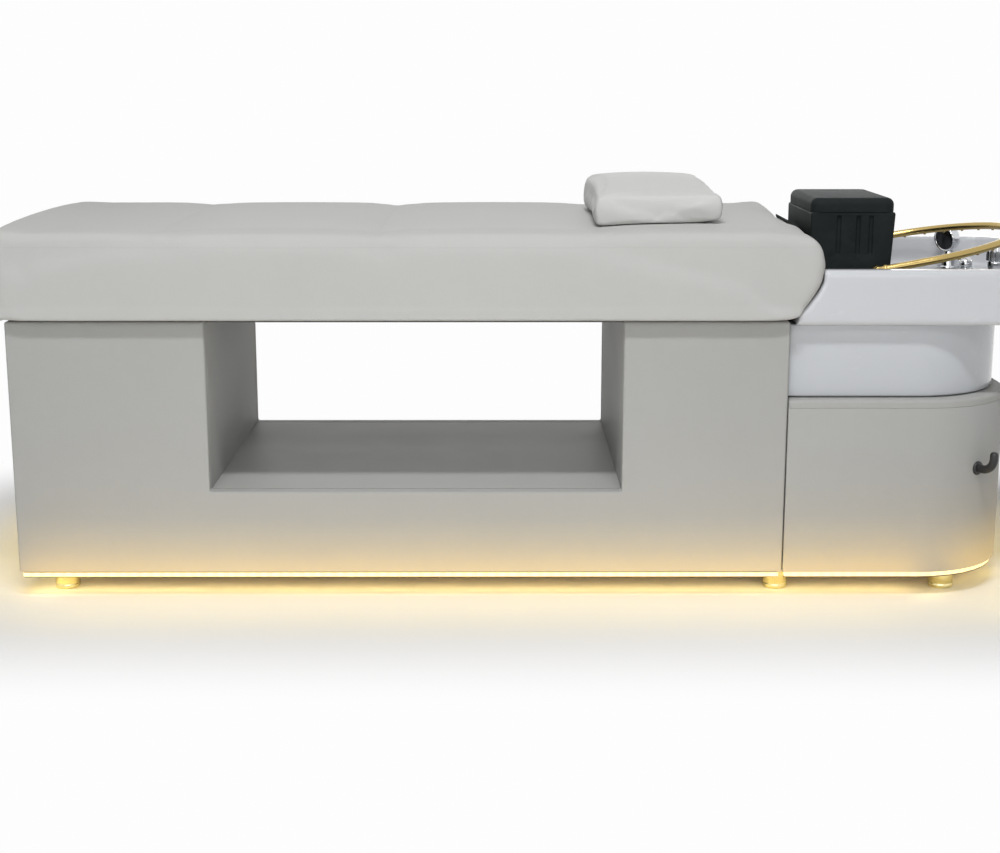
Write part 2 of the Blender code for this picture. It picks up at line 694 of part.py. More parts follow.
def service_hatch():
    """The hatch at the head end, its knob and its two butt hinges."""
    half = HATCH_WIDTH / 2
    top = HATCH_UNDERSIDE + HATCH_HEIGHT
    axis = (REAR_END_X + HINGE_RADIUS + RUNNING, half + HATCH_GAP / 2)
    middle = HATCH_UNDERSIDE + HATCH_HEIGHT / 2
    hatch = box("service_hatch", (REAR_END_X - HATCH_THICKNESS, -half, HATCH_UNDERSIDE),
                (REAR_END_X, half, top), CABINET_HIDE, PANEL_EDGE / 4)
    set_origin(hatch, (*axis, middle))
    knob_y = -half + 2 * KNOB_RADIUS
    profile = [(0, KNOB_LENGTH), (KNOB_RADIUS * 0.8, KNOB_LENGTH), (KNOB_RADIUS, KNOB_LENGTH * 0.8),
               (KNOB_RADIUS, KNOB_LENGTH * 0.6), (KNOB_RADIUS * 0.5, KNOB_LENGTH * 0.4),
               (KNOB_RADIUS * 0.5, 0), (0, 0)]
    knob = turned("hatch_knob", profile, (REAR_END_X + FIT, knob_y, middle), CHROME, 16,
                  (0, math.pi / 2, 0))
    attach(knob, hatch)
    for place, share in zip(("lower", "upper"), HINGE_SHARES):
        attach(hinge(place, axis, HATCH_UNDERSIDE + HATCH_HEIGHT * share), hatch)


def hinge(place, axis, height):
    """A butt hinge: the fixed half carries the pin, the moving half turns on it."""
    third = HINGE_LENGTH / 3
    face = REAR_END_X + FIT
    low, high = height - HINGE_LENGTH / 2, height + HINGE_LENGTH / 2
    root = HINGE_RADIUS * 0.4

    def leaf(name, side, look):
        inner, outer = axis[1] + side * root, axis[1] + side * HINGE_LEAF_WIDTH
        return box(name, (face, min(inner, outer), low),
                   (face + HINGE_LEAF_THICKNESS, max(inner, outer), high), look)

    def knuckle(name, radius, start, stop, steps=12):
        return disc(name + "_" + place, radius, start, stop, (*axis, 0), steps=steps)

    notch_radius = HINGE_RADIUS + 2 * RUNNING
    fixed = leaf("hinge_fixed_" + place, 1, STEEL)
    cut(fixed, knuckle("notch_fixed", notch_radius, low + third, high - third))
    join(fixed, knuckle("pin", HINGE_PIN_RADIUS, low, high, 8),
         knuckle("knuckle_low", HINGE_RADIUS, low, low + third),
         knuckle("knuckle_high", HINGE_RADIUS, high - third, high))
    set_origin(fixed, (*axis, height))

    moving = leaf("hinge_moving_" + place, -1, STEEL)
    cut(moving, knuckle("notch_low", notch_radius, low - OVERRUN, low + third + FIT),
        knuckle("notch_high", notch_radius, high - third - FIT, high + OVERRUN))
    join(moving, knuckle("middle", HINGE_RADIUS, low + third + FIT, high - third - FIT))
    cut(moving, knuckle("eye", HINGE_PIN_RADIUS + RUNNING, low - OVERRUN, high + OVERRUN, 8))
    return set_origin(moving, (*axis, height))


def feet():
    """Six short round feet under the base boards."""
    profile = [(0, CABINET_UNDERSIDE - FIT), (FOOT_RADIUS, CABINET_UNDERSIDE - FIT),
               (FOOT_RADIUS, FOOT_EDGE), (FOOT_RADIUS - FOOT_EDGE, 0), (0, 0)]
    places = [FOOT_END_X + FOOT_FROM_FOOT_END, SEAM_X, REAR_END_X - FOOT_FROM_REAR_END]
    count = 0
    for x in places:
        for side in (-1, 1):
            count += 1
            turned("foot_{}".format(count), profile, (x, side * (HALF_WIDTH - FOOT_INSET), 0), GOLD, 24)


def light_strips():
    """Light bars under the edges of both cabinets."""
    top = CABINET_UNDERSIDE - FIT
    low = top - STRIP_HEIGHT
    outer = HALF_WIDTH - STRIP_INSET
    foot_x = FOOT_END_X + STRIP_INSET
    for name, side in (("light_strip_front", -1), ("light_strip_back", 1)):
        inner_y, outer_y = side * (outer - STRIP_WIDTH), side * outer
        box(name, (foot_x, min(inner_y, outer_y), low), (SEAM_X - STRIP_INSET, max(inner_y, outer_y), top),
            WARM_LIGHT, FINE_EDGE, 1)
    across = outer - STRIP_WIDTH - FIT
    box("light_strip_foot_end", (foot_x, -across, low), (foot_x + STRIP_WIDTH, across, top), WARM_LIGHT,
        FINE_EDGE, 1)
    start = SEAM_X + STRIP_INSET
    rear = plate("light_strip_rear", rear_plan(STRIP_INSET, start=start), low, top, WARM_LIGHT)
    hollow = plate("strip_hollow", rear_plan(STRIP_INSET + STRIP_WIDTH, start=start - OVERRUN),
                   low - OVERRUN, top + OVERRUN, None)
    cut(rear, hollow)


def basin():
    """The basin: rim band with a raked foot end, lowered deck and bowl, cut from one solid."""
    start = SEAM_X + SEAM_GAP
    corners = rectangle((start, -HALF_WIDTH), (BASIN_END_X, HALF_WIDTH))
    outline = rounded(corners, [2 * RIM_EDGE, BASIN_CORNER, BASIN_CORNER, 2 * RIM_EDGE], 8)
    made = plate("basin", outline, BASIN_RIM_UNDERSIDE, BASIN_RIM_TOP, WHITE_GLAZE, edge=RIM_EDGE,
                 segments=3)

    rake_top = MATTRESS_UNDERSIDE + MATTRESS_RAKE_HEIGHT
    nose = SEAM_X + MATTRESS_NOSE + SLIP
    rake = [(start - OVERRUN, MATTRESS_UNDERSIDE - 4 * SLIP)]
    for share in RAKE_SHARES:
        height = MATTRESS_RAKE_HEIGHT * share
        reach = head_profile(height / MATTRESS_HEIGHT) + 2.5 * SLIP
        rake.append((SEAM_X + reach, MATTRESS_UNDERSIDE + height))
    rake += [(nose, rake_top), (nose, BASIN_RIM_TOP + OVERRUN), (start - OVERRUN, BASIN_RIM_TOP + OVERRUN)]
    wedge = plate("rake_cut", rake, -HALF_WIDTH - OVERRUN, HALF_WIDTH + OVERRUN, None, "XZ")

    bowl_half = BOWL_WIDTH / 2
    outer_half = bowl_half + BOWL_WALL
    under = box("bowl_outside", (BOWL_START_X - BOWL_WALL, -outer_half, BOWL_FLOOR_TOP - BOWL_WALL),
                (BOWL_END_X + BOWL_WALL, outer_half, NECK_LEDGE_TOP), None, BOWL_ROUND, 4)
    hollow = box("bowl_hollow", (BOWL_START_X, -bowl_half, BOWL_FLOOR_TOP),
                 (BOWL_END_X, bowl_half, 2 * BASIN_RIM_TOP - DECK_TOP), None, BOWL_ROUND, 4)
    inner_half = HALF_WIDTH - RIM_WALL
    deck_start = BOWL_START_X + 2 * RIM_EDGE
    deck = rounded(rectangle((deck_start, -inner_half), (BASIN_END_X - RIM_WALL, inner_half)),
                   [RIM_WALL / 2, BASIN_CORNER - RIM_WALL, BASIN_CORNER - RIM_WALL, RIM_WALL / 2], 6)
    pocket = plate("deck_pocket", deck, DECK_TOP, BASIN_RIM_TOP + RIM_WALL, None, edge=RIM_EDGE, segments=3)
    ledge = plate("neck_ledge_cut", rectangle((nose - OVERRUN, NECK_LEDGE_TOP),
                                              (deck_start + OVERRUN, BASIN_RIM_TOP + OVERRUN)),
                  -inner_half, inner_half, None, "XZ")
    drain = disc("drain_hole", DRAIN_TAIL_RADIUS + FIT, BOWL_FLOOR_TOP - 2 * BOWL_WALL,
                 BOWL_FLOOR_TOP + OVERRUN, (DRAIN_X, 0, 0), steps=20)
    join(made, under)
    cut(made, wedge, pocket, hollow, ledge, drain)
    return made


def neck_rest(height_at):
    """The moulded neck rest: a fluted block on the basin ledge, a lid, and a flap on the mattress."""
    start = SEAM_X + MATTRESS_NOSE + NECK_GAP
    end = start + NECK_LENGTH
    half = NECK_WIDTH / 2
    lid_bottom = NECK_TOP - NECK_LID_HEIGHT
    block_top = lid_bottom - FIT
    block_bottom = DECK_TOP - NECK_DROP
    bowl_side = BOWL_START_X + 2 * SLIP
    ledge = NECK_LEDGE_TOP + FIT

    contact = SEAM_X + MATTRESS_NOSE * 0.85
    places = [contact - FLAP_LENGTH * share for share in FLAP_SHARES]
    under = [(x, height_at(x, 0.0) + SLIP) for x in places]
    slope = (under[-1][1] - under[-2][1]) / (under[-1][0] - under[-2][0])
    root = (start, under[-1][1] + slope * (start - contact))
    upper = [(x, z + FLAP_THICKNESS) for x, z in under + [root]]
    outline = [
        (start, ledge), (bowl_side, ledge), (bowl_side, block_bottom), (end - NECK_TAPER, block_bottom),
        (end, block_top), (start, block_top),
    ] + upper[::-1] + under + [root]
    block = plate("neck_rest", outline, -half, half, BLACK_RUBBER, "XZ", FINE_EDGE / 2, 1)
    flutes = []
    for side in (-1, 1):
        for index, share in enumerate(FLUTE_SHARES):
            x = start + NECK_LENGTH * share
            name = "flute_{}_{}".format(index, "near" if side < 0 else "far")
            flute_low = (x - FLUTE_RADIUS, side * half - FLUTE_RADIUS, NECK_LEDGE_TOP + FLUTE_TO_LEDGE)
            flute_high = (x + FLUTE_RADIUS, side * half + FLUTE_RADIUS, NECK_TOP - FLUTE_TO_TOP)
            flutes.append(box(name, flute_low, flute_high, None, FLUTE_RADIUS * 0.7, 2))
    cut(block, *flutes)
    set_origin(block, (start, 0, NECK_LEDGE_TOP))
    lid = box("neck_rest_lid", (start + NECK_LID_INSET, -half + NECK_LID_INSET, lid_bottom),
              (end - NECK_LID_INSET, half - NECK_LID_INSET, NECK_TOP), BLACK_RUBBER, NECK_EDGE, 3)
    set_origin(lid, (start, 0, NECK_LEDGE_TOP))


def tub():
    """The skirt under the rim: a walled tray with round corners at its head end."""
    half = HALF_WIDTH - TUB_SETBACK
    top = BASIN_RIM_UNDERSIDE - FIT
    start = SEAM_X + SEAM_GAP
    outer = rear_plan(0, start, TUB_LENGTH, TUB_CORNER, half)
    made = plate("tub", outer, TUB_UNDERSIDE, top, WHITE_SHELL, edge=FINE_EDGE, segments=1)
    inside = rectangle((start + TUB_WALL, TUB_WALL - half),
                       (SEAM_X + TUB_LENGTH - TUB_WALL, half - TUB_WALL))
    inner = rounded(inside, [TUB_WALL, TUB_CORNER - TUB_WALL, TUB_CORNER - TUB_WALL, TUB_WALL], 9)
    hollow = plate("tub_hollow", inner, TUB_UNDERSIDE + TUB_WALL, top + OVERRUN, None)
    foot = rear_plan(PLINTH_SETBACK, start + PLINTH_SETBACK, TUB_LENGTH, TUB_CORNER, half)
    plinth = plate("tub_plinth", foot, REAR_TOP + FIT, TUB_UNDERSIDE + TUB_WALL / 2, None)
    return cut(join(made, plinth), hollow)


def water_arch():
    """The water arch with its end eyes and pins, and the two brackets that it turns in."""
    angle = ARCH_REST_ANGLE

    def place(reach, side):
        return (ARCH_PIVOT_X + reach * math.cos(angle), side, ARCH_PIVOT_HEIGHT + reach * math.sin(angle))

    steps = 30
    points = [place(0, -ARCH_HALF_WIDTH)]
    for step in range(steps + 1):
        turn = math.pi * step / steps
        points.append(place(ARCH_LEG + ARCH_HALF_WIDTH * math.sin(turn), -ARCH_HALF_WIDTH * math.cos(turn)))
    points.append(place(0, ARCH_HALF_WIDTH))
    arch = tube("water_arch", points, ARCH_TUBE_RADIUS, GOLD, 3)
    eye_radius = ARCH_TUBE_RADIUS * 1.35
    eye_half = ARCH_TUBE_RADIUS * 1.25
    for name, side in (("left", -1), ("right", 1)):
        pivot = (ARCH_PIVOT_X, side * ARCH_HALF_WIDTH, ARCH_PIVOT_HEIGHT)
        turn = (-side * math.pi / 2, 0, 0)
        pin_end = eye_half + ARCH_PIN_LENGTH
        profile = [(0, pin_end), (ARCH_PIN_RADIUS, pin_end), (ARCH_PIN_RADIUS, eye_half),
                   (eye_radius, eye_half), (eye_radius, -eye_half), (0, -eye_half)]
        join(arch, turned("eye_" + name, profile, pivot, None, 16, turn))

        inner = ARCH_HALF_WIDTH + eye_half + RUNNING
        outer = inner + ARCH_BRACKET_WIDTH
        low, high = sorted((side * inner, side * outer))
        base = DECK_TOP + FIT
        half = eye_radius
        corners = rectangle((ARCH_PIVOT_X - half, base), (ARCH_PIVOT_X + half, ARCH_PIVOT_HEIGHT + half))
        outline = rounded(corners, [0, 0, half * 0.98, half * 0.98], 5)
        bracket = plate("arch_bracket_" + name, outline, low, high, GOLD, "XZ")
        join(bracket, disc("bracket_base_" + name, ARCH_BRACKET_BASE, base, base + FLANGE_HEIGHT,
                           (ARCH_PIVOT_X, (low + high) / 2, 0), edge=FINE_EDGE))
        cut(bracket, disc("bracket_bore_" + name, ARCH_PIN_RADIUS + RUNNING, 0, 2 * ARCH_HALF_WIDTH,
                          pivot, steps=12, turn=turn))
    set_origin(arch, (ARCH_PIVOT_X, 0, ARCH_PIVOT_HEIGHT))


def shower():
    """The hand shower with its round head, and the socket that it stands in."""
    face = Vector(SHOWER_FACE).normalized()
    head = Vector((BOWL_END_X + SHOWER_PAST_BOWL, HALF_WIDTH - SHOWER_TO_SIDE, DECK_TOP + SHOWER_LIFT))
    stem = head - face * SHOWER_HEAD_DEPTH * 0.5
    base = DECK_TOP + FIT
    socket_top = base + SOCKET_HEIGHT
    bore = SHOWER_STEM_RADIUS + SLIP / 2
    profile = [(bore, SOCKET_HEIGHT), (SOCKET_RADIUS - FINE_EDGE, SOCKET_HEIGHT),
               (SOCKET_RADIUS, SOCKET_HEIGHT - FINE_EDGE), (SOCKET_RADIUS, FLANGE_HEIGHT),
               (FLANGE_RADIUS, FLANGE_HEIGHT), (FLANGE_RADIUS, 0), (bore, 0)]
    turned("shower_socket", profile, (stem.x, stem.y, base), CHROME, 20)

    low = FINE_EDGE - SOCKET_HEIGHT
    top = stem.z - socket_top
    grip = SHOWER_GRIP_RADIUS
    profile = [(0, top), (grip * 0.8, top), (grip * 0.75, top * 0.6), (grip, top * 0.2), (grip, FIT),
               (SHOWER_STEM_RADIUS, FIT), (SHOWER_STEM_RADIUS, low), (0, low)]
    handle = turned("hand_shower", profile, (stem.x, stem.y, socket_top), CHROME, 20)
    radius, depth = SHOWER_HEAD_RADIUS, SHOWER_HEAD_DEPTH
    profile = [(0, depth * 0.3), (radius * 0.86, depth * 0.3), (radius * 0.96, depth * 0.38),
               (radius, depth * 0.2), (radius, -depth * 0.1), (radius * 0.72, -depth * 0.5),
               (radius * 0.36, -depth * 0.7), (0, -depth * 0.7)]
    join(handle, turned("shower_head", profile, head, None, 28, face.to_track_quat("Z", "Y").to_euler()))


def mixer():
    """The mixer: a round body, a turret with a ball top, and a lever cap that tilts on the ball."""
    x, y = BOWL_END_X + MIXER_PAST_BOWL, MIXER_OFFSET
    base = DECK_TOP + FIT
    profile = [(0, MIXER_HEIGHT), (MIXER_RADIUS - FINE_EDGE, MIXER_HEIGHT),
               (MIXER_RADIUS, MIXER_HEIGHT - FINE_EDGE), (MIXER_RADIUS, FLANGE_HEIGHT),
               (FLANGE_RADIUS, FLANGE_HEIGHT), (FLANGE_RADIUS, 0), (0, 0)]
    turned("mixer_body", profile, (x, y, base), CHROME, 24)

    ball = BALL_RADIUS
    turret_base = base + MIXER_HEIGHT + FIT
    collar = FINE_EDGE * 1.5
    centre = ball * 0.55
    steps = 6
    start = -math.asin((centre - collar) / ball)
    arc = []
    for step in range(steps + 1):
        turn = math.pi / 2 + (start - math.pi / 2) * step / steps
        arc.append((ball * math.cos(turn) if step else 0, centre + ball * math.sin(turn)))
    profile = arc + [(MIXER_RADIUS * 0.9, collar), (MIXER_RADIUS * 0.9, 0), (0, 0)]
    turned("mixer_turret", profile, (x, y, turret_base), CHROME, 20)

    inner, outer = ball + FIT, ball + FIT + LEVER_SHELL
    rim = math.radians(24.0)
    outside, inside = [], []
    for step in range(steps + 1):
        turn = math.pi / 2 + (rim - math.pi / 2) * step / steps
        outside.append((outer * math.cos(turn) if step else 0, outer * math.sin(turn)))
        inside.append((inner * math.cos(turn) if step else 0, inner * math.sin(turn)))
    axis = turret_base + centre
    lever = turned("mixer_lever", outside + inside[::-1], (x, y, axis), CHROME, 20)
    rise = math.radians(32.0)
    root = (0, -(inner + LEVER_SHELL * 0.7) * math.cos(rise), (inner + LEVER_SHELL * 0.7) * math.sin(rise))
    arm = tube("lever_arm", [(x + root[0], y + root[1], axis + root[2]),
                             (x, y - LEVER_LENGTH * 0.7, axis + root[2] * 1.05),
                             (x, y - LEVER_LENGTH, axis + root[2] * 1.3)], LEVER_RADIUS * 0.8, None, 2)
    join(lever, arm)


def valve():
    """The tall valve beside the mixer, with a fluted knob that turns on its top."""
    place = (BOWL_END_X + VALVE_PAST_BOWL, VALVE_OFFSET, DECK_TOP + FIT)
    radius = VALVE_RADIUS
    profile = [(0, VALVE_HEIGHT), (radius - FINE_EDGE, VALVE_HEIGHT), (radius, VALVE_HEIGHT - FINE_EDGE),
               (radius * 0.86, VALVE_HEIGHT * 0.72), (radius, VALVE_HEIGHT * 0.3),
               (radius * 1.2, FLANGE_HEIGHT * 2), (FLANGE_RADIUS, FLANGE_HEIGHT), (FLANGE_RADIUS, 0), (0, 0)]
    turned("valve_body", profile, place, CHROME, 24)
    outline = []
    count = VALVE_KNOB_FLUTES * 4
    for step in range(count):
        turn = 2 * math.pi * step / count
        reach = VALVE_KNOB_RADIUS - FLUTE_DEPTH * (step % 4 == 0)
        outline.append((place[0] + reach * math.cos(turn), place[1] + reach * math.sin(turn)))
    bottom = place[2] + VALVE_HEIGHT + FIT
    knob = plate("valve_knob", outline, bottom, bottom + VALVE_KNOB_HEIGHT, CHROME, edge=FINE_EDGE,
                 segments=1)
    set_origin(knob, (place[0], place[1], bottom))


def drain(tray, lid):
    """The drain flange and strainer in the bowl floor, and the pipe down to the tank."""
    floor = BOWL_FLOOR_TOP + FIT
    top = DRAIN_FLANGE_HEIGHT
    profile = [(DRAIN_MOUTH_RADIUS, top), (DRAIN_FLANGE_RADIUS - FINE_EDGE, top), (DRAIN_FLANGE_RADIUS, 0),
               (DRAIN_TAIL_RADIUS, 0), (DRAIN_TAIL_RADIUS, -DRAIN_TAIL_LENGTH),
               (DRAIN_MOUTH_RADIUS, -DRAIN_TAIL_LENGTH)]
    turned("drain_flange", profile, (DRAIN_X, 0, floor), CHROME, 24)

    seat = floor + top + FIT
    knob = STRAINER_RADIUS * 0.22
    profile = [(0, 4 * STRAINER_THICKNESS), (knob, 4 * STRAINER_THICKNESS), (knob * 0.6, STRAINER_THICKNESS),
               (STRAINER_RADIUS - FINE_EDGE, STRAINER_THICKNESS), (STRAINER_RADIUS, 0), (0, 0)]
    strainer = turned("drain_strainer", profile, (DRAIN_X, 0, seat), STEEL, 24)
    for index in range(STRAINER_HOLES):
        turn = 2 * math.pi * (index + 0.31) / STRAINER_HOLES
        reach = STRAINER_RADIUS * 0.6
        cut(strainer, disc("strainer_hole_{}".format(index), STRAINER_RADIUS * 0.16, -OVERRUN, OVERRUN,
                           (DRAIN_X + reach * math.cos(turn), reach * math.sin(turn), seat), steps=8))

    pipe_top = floor - DRAIN_TAIL_LENGTH - FIT
    pipe_bottom = BAY_FLOOR + TANK_HEIGHT + FIT
    profile = [(PIPE_RADIUS - PIPE_WALL, pipe_top), (PIPE_RADIUS, pipe_top), (PIPE_RADIUS, pipe_bottom),
               (PIPE_RADIUS - PIPE_WALL, pipe_bottom)]
    turned("drain_pipe", profile, (DRAIN_X, 0, 0), PIPE_GREY, 20)
    well_half = BOWL_WIDTH / 2 - WELL_INSET
    well_low = (BOWL_START_X + WELL_INSET, -well_half, REAR_TOP_UNDERSIDE - OVERRUN)
    well_high = (BOWL_END_X - WELL_INSET, well_half, TUB_UNDERSIDE + TUB_WALL + OVERRUN)
    well = box("drain_well", well_low, well_high)
    for crossed in (tray, lid):
        cut(crossed, well)


def water_works(tray, lid):
    """The tank, the circulation pump, the heater and their hoses in the rear cabinet."""
    tank_x = DRAIN_X - TANK_TO_DRAIN
    tank_top = BAY_FLOOR + TANK_HEIGHT
    tank = box("water_tank", (tank_x, -TANK_WIDTH / 2, BAY_FLOOR),
               (tank_x + TANK_LENGTH, TANK_WIDTH / 2, tank_top), TANK_PLASTIC, TANK_EDGE, 3)
    neck_bore = PIPE_RADIUS + SLIP / 2
    profile = [(neck_bore, TANK_NECK_HEIGHT), (neck_bore + TANK_NECK_WALL, TANK_NECK_HEIGHT),
               (neck_bore + TANK_NECK_WALL, -TANK_NECK_WALL), (neck_bore, -TANK_NECK_WALL)]
    join(tank, turned("tank_neck", profile, (DRAIN_X, 0, tank_top), None, 20))

    pump_x = SEAM_X + PUMP_TO_SEAM
    axis = BAY_FLOOR + PUMP_AXIS_HEIGHT
    lying = (math.pi / 2, 0, 0)
    face = (pump_x, PUMP_OFFSET, axis)
    disc("pump_volute", VOLUTE_RADIUS, 0, VOLUTE_THICKNESS, face, PIPE_GREY, 24, FINE_EDGE * 2, lying)
    back = (pump_x, PUMP_OFFSET - VOLUTE_THICKNESS - FIT, axis)
    motor = disc("pump_motor", MOTOR_RADIUS, 0, MOTOR_LENGTH, back, STEEL, 24, FINE_EDGE * 3, lying)
    join(motor, box("motor_foot", (pump_x - MOTOR_RADIUS, back[1] - MOTOR_LENGTH * 0.8, BAY_FLOOR),
                    (pump_x + MOTOR_RADIUS, back[1] - MOTOR_LENGTH * 0.2, axis - MOTOR_RADIUS * 0.6)))

    disc("heater", HEATER_RADIUS, 0, HEATER_HEIGHT, (pump_x, HEATER_OFFSET, BAY_FLOOR), STEEL, 24,
         HEATER_RADIUS / 4)

    middle_y = PUMP_OFFSET - VOLUTE_THICKNESS / 2
    tank_route = [(pump_x + VOLUTE_RADIUS + FIT, middle_y, axis), (tank_x - FIT, middle_y, axis)]
    tube("hose_tank_to_pump", tank_route, HOSE_RADIUS, HOSE_RUBBER)
    pump_top = axis + VOLUTE_RADIUS + FIT
    heater_top = BAY_FLOOR + HEATER_HEIGHT + FIT
    over = (pump_top + heater_top) / 2
    route = [(pump_x, middle_y, pump_top), (pump_x, middle_y, over),
             (pump_x, HEATER_OFFSET - HEATER_RADIUS - FIT, over)]
    bend = min(HOSE_BEND, over - pump_top - SLIP)
    tube("hose_pump_to_heater", bent(route, bend), HOSE_RADIUS, HOSE_RUBBER)

    rise_y = ARCH_HALF_WIDTH + ARCH_TUBE_RADIUS * 1.25 + RUNNING + ARCH_BRACKET_WIDTH / 2
    level = (heater_top + REAR_TOP_UNDERSIDE) / 2
    route = [(pump_x, HEATER_OFFSET, heater_top), (pump_x, HEATER_OFFSET, level),
             (ARCH_PIVOT_X, rise_y, level), (ARCH_PIVOT_X, rise_y, BASIN_RIM_UNDERSIDE - FIT)]
    bend = min(HOSE_BEND, level - heater_top - SLIP)
    tube("hose_heater_to_basin", bent(route, bend), HOSE_RADIUS, HOSE_RUBBER)
    hole = disc("hose_hole", HOSE_RADIUS + SLIP / 2, REAR_TOP_UNDERSIDE - OVERRUN,
                TUB_UNDERSIDE + TUB_WALL + OVERRUN, (ARCH_PIVOT_X, rise_y, 0), steps=16)
    for crossed in (tray, lid):
        cut(crossed, hole)


def bent(route, radius, steps=6):
    """A route with each corner turned into an arc of points."""
    points = [Vector(route[0])]
    for before, corner, after in zip(route, route[1:], route[2:]):
        corner = Vector(corner)
        back = (Vector(before) - corner).normalized()
        ahead = (Vector(after) - corner).normalized()
        half = back.angle(ahead) / 2
        centre = corner + (back + ahead).normalized() * (radius / math.sin(half))
        first = corner + back * (radius / math.tan(half)) - centre
        last = corner + ahead * (radius / math.tan(half)) - centre
        for step in range(steps + 1):
            points.append(centre + first.normalized().slerp(last.normalized(), step / steps) * radius)
    points.append(Vector(route[-1]))
    return points


def hook():
    """The moulded hook on the near round corner of the rear cabinet."""
    centre = Vector((REAR_END_X - REAR_CORNER, REAR_CORNER - HALF_WIDTH, HOOK_HEIGHT))
    out = Vector((math.sin(HOOK_ANGLE), -math.cos(HOOK_ANGLE), 0))
    flat = REAR_CORNER * math.cos(math.radians(5.0))
    seat = centre + out * (flat + FIT)
    turn = out.to_track_quat("Z", "Y").to_euler()
    base = disc("hose_hook", HOOK_BASE_RADIUS, 0, HOOK_BASE_THICKNESS, seat, BLACK_PLASTIC, 20, FINE_EDGE,
                turn)
    up = Vector((0, 0, 1))
    steps = 8
    points = [seat + out * HOOK_BASE_THICKNESS * 0.4]
    for step in range(steps + 1):
        bend = math.pi / 2 * step / steps
        points.append(seat + out * (HOOK_REACH * (0.35 + 0.65 * math.sin(bend)))
                      + up * (HOOK_RISE * 0.65 * (1 - math.cos(bend))))
    points.append(points[-1] + up * HOOK_RISE * 0.35)
    join(base, tube("hook_arm", points, HOOK_THICKNESS, None, 2))


def electrics(shell):
    """The power inlet and the rocker switch in the back of the rear cabinet."""
    wall = HALF_WIDTH + FIT

    def frame(name, centre_x, flange, body, mouth, depth, look):
        def block(label, size, low, high, piece_look=None, edge=0.0):
            return box(label, (centre_x - size[0] / 2, low, INLET_HEIGHT - size[1] / 2),
                       (centre_x + size[0] / 2, high, INLET_HEIGHT + size[1] / 2), piece_look, edge)

        made = block(name, flange, wall, wall + PLATE_THICKNESS, look, FINE_EDGE / 2)
        join(made, block(name + "_body", body, wall - BODY_DEPTH, wall + PLATE_THICKNESS / 2))
        cut(made, block(name + "_mouth", mouth, wall + PLATE_THICKNESS - depth, wall + OVERRUN))
        hole = (body[0] + 2 * SLIP, body[1] + 2 * SLIP)
        cut(shell, block(name + "_hole", hole, wall - REAR_WALL - OVERRUN, wall + OVERRUN))

    frame("power_inlet", SEAM_X + INLET_TO_SEAM, INLET_FLANGE, INLET_BODY, INLET_MOUTH, INLET_DEPTH,
          BLACK_PLASTIC)
    switch_x = SEAM_X + SWITCH_TO_SEAM
    frame("switch_bezel", switch_x, SWITCH_FLANGE, SWITCH_BODY, SWITCH_MOUTH, INLET_DEPTH, BLACK_PLASTIC)

    half = SWITCH_MOUTH[1] / 2 - SLIP
    width = SWITCH_MOUTH[0] / 2 - SLIP / 2
    pivot_y = wall
    rocker_height = PLATE_THICKNESS * 1.4
    profile = [(-PLATE_THICKNESS, -half * 0.9), (rocker_height, -half * 0.9), (rocker_height * 0.55, 0),
               (rocker_height, half * 0.9), (-PLATE_THICKNESS, half * 0.9)]
    tilted = []
    for out, along in profile:
        tilted.append((pivot_y + out * math.cos(SWITCH_TILT) - along * math.sin(SWITCH_TILT),
                       INLET_HEIGHT + out * math.sin(SWITCH_TILT) + along * math.cos(SWITCH_TILT)))
    rocker = plate("switch_rocker", tilted, switch_x - width, switch_x + width, BLACK_PLASTIC, "YZ",
                   FINE_EDGE / 3, 1)
    set_origin(rocker, (switch_x, pivot_y, INLET_HEIGHT))


def main():
    """Build every sub-part from the main cabinet to the fittings."""
    cabinet()
    bed_top = surface_below(mattress())
    pillow(bed_top)
    shell, lid = rear_cabinet()
    service_hatch()
    feet()
    light_strips()
    basin()
    tray = tub()
    neck_rest(bed_top)
    water_arch()
    shower()
    mixer()
    valve()
    drain(tray, lid)
    water_works(tray, lid)
    hook()
    electrics(shell)


main()
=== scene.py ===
"""The finish of a head spa bed: upholstery, basin, metalwork, lights, stage and camera."""
import math

import bmesh
import bpy
from bpy.props import FloatProperty, FloatVectorProperty, IntProperty, PointerProperty
from bpy.types import Operator, Panel, PropertyGroup
from mathutils import Matrix, Vector
from mathutils.bvhtree import BVHTree


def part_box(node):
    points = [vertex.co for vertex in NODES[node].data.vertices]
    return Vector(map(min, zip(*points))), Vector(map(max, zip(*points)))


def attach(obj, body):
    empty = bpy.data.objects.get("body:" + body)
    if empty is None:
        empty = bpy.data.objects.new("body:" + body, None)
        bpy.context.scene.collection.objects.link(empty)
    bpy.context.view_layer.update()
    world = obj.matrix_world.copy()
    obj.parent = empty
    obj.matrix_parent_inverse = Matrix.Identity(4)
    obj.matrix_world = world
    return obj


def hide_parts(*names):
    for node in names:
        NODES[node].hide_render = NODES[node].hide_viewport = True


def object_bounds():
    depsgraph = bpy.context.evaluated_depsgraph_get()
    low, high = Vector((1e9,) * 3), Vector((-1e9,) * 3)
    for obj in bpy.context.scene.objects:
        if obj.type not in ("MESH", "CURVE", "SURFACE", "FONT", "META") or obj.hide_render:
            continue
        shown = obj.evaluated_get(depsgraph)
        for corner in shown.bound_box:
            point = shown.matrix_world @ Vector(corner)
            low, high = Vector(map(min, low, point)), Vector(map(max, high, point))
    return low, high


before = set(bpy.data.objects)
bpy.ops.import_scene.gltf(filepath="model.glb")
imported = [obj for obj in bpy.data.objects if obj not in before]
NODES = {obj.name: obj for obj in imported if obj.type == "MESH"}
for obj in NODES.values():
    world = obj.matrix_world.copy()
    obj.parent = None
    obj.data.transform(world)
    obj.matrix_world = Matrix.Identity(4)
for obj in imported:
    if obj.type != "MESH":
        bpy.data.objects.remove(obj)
CAD_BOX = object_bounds()

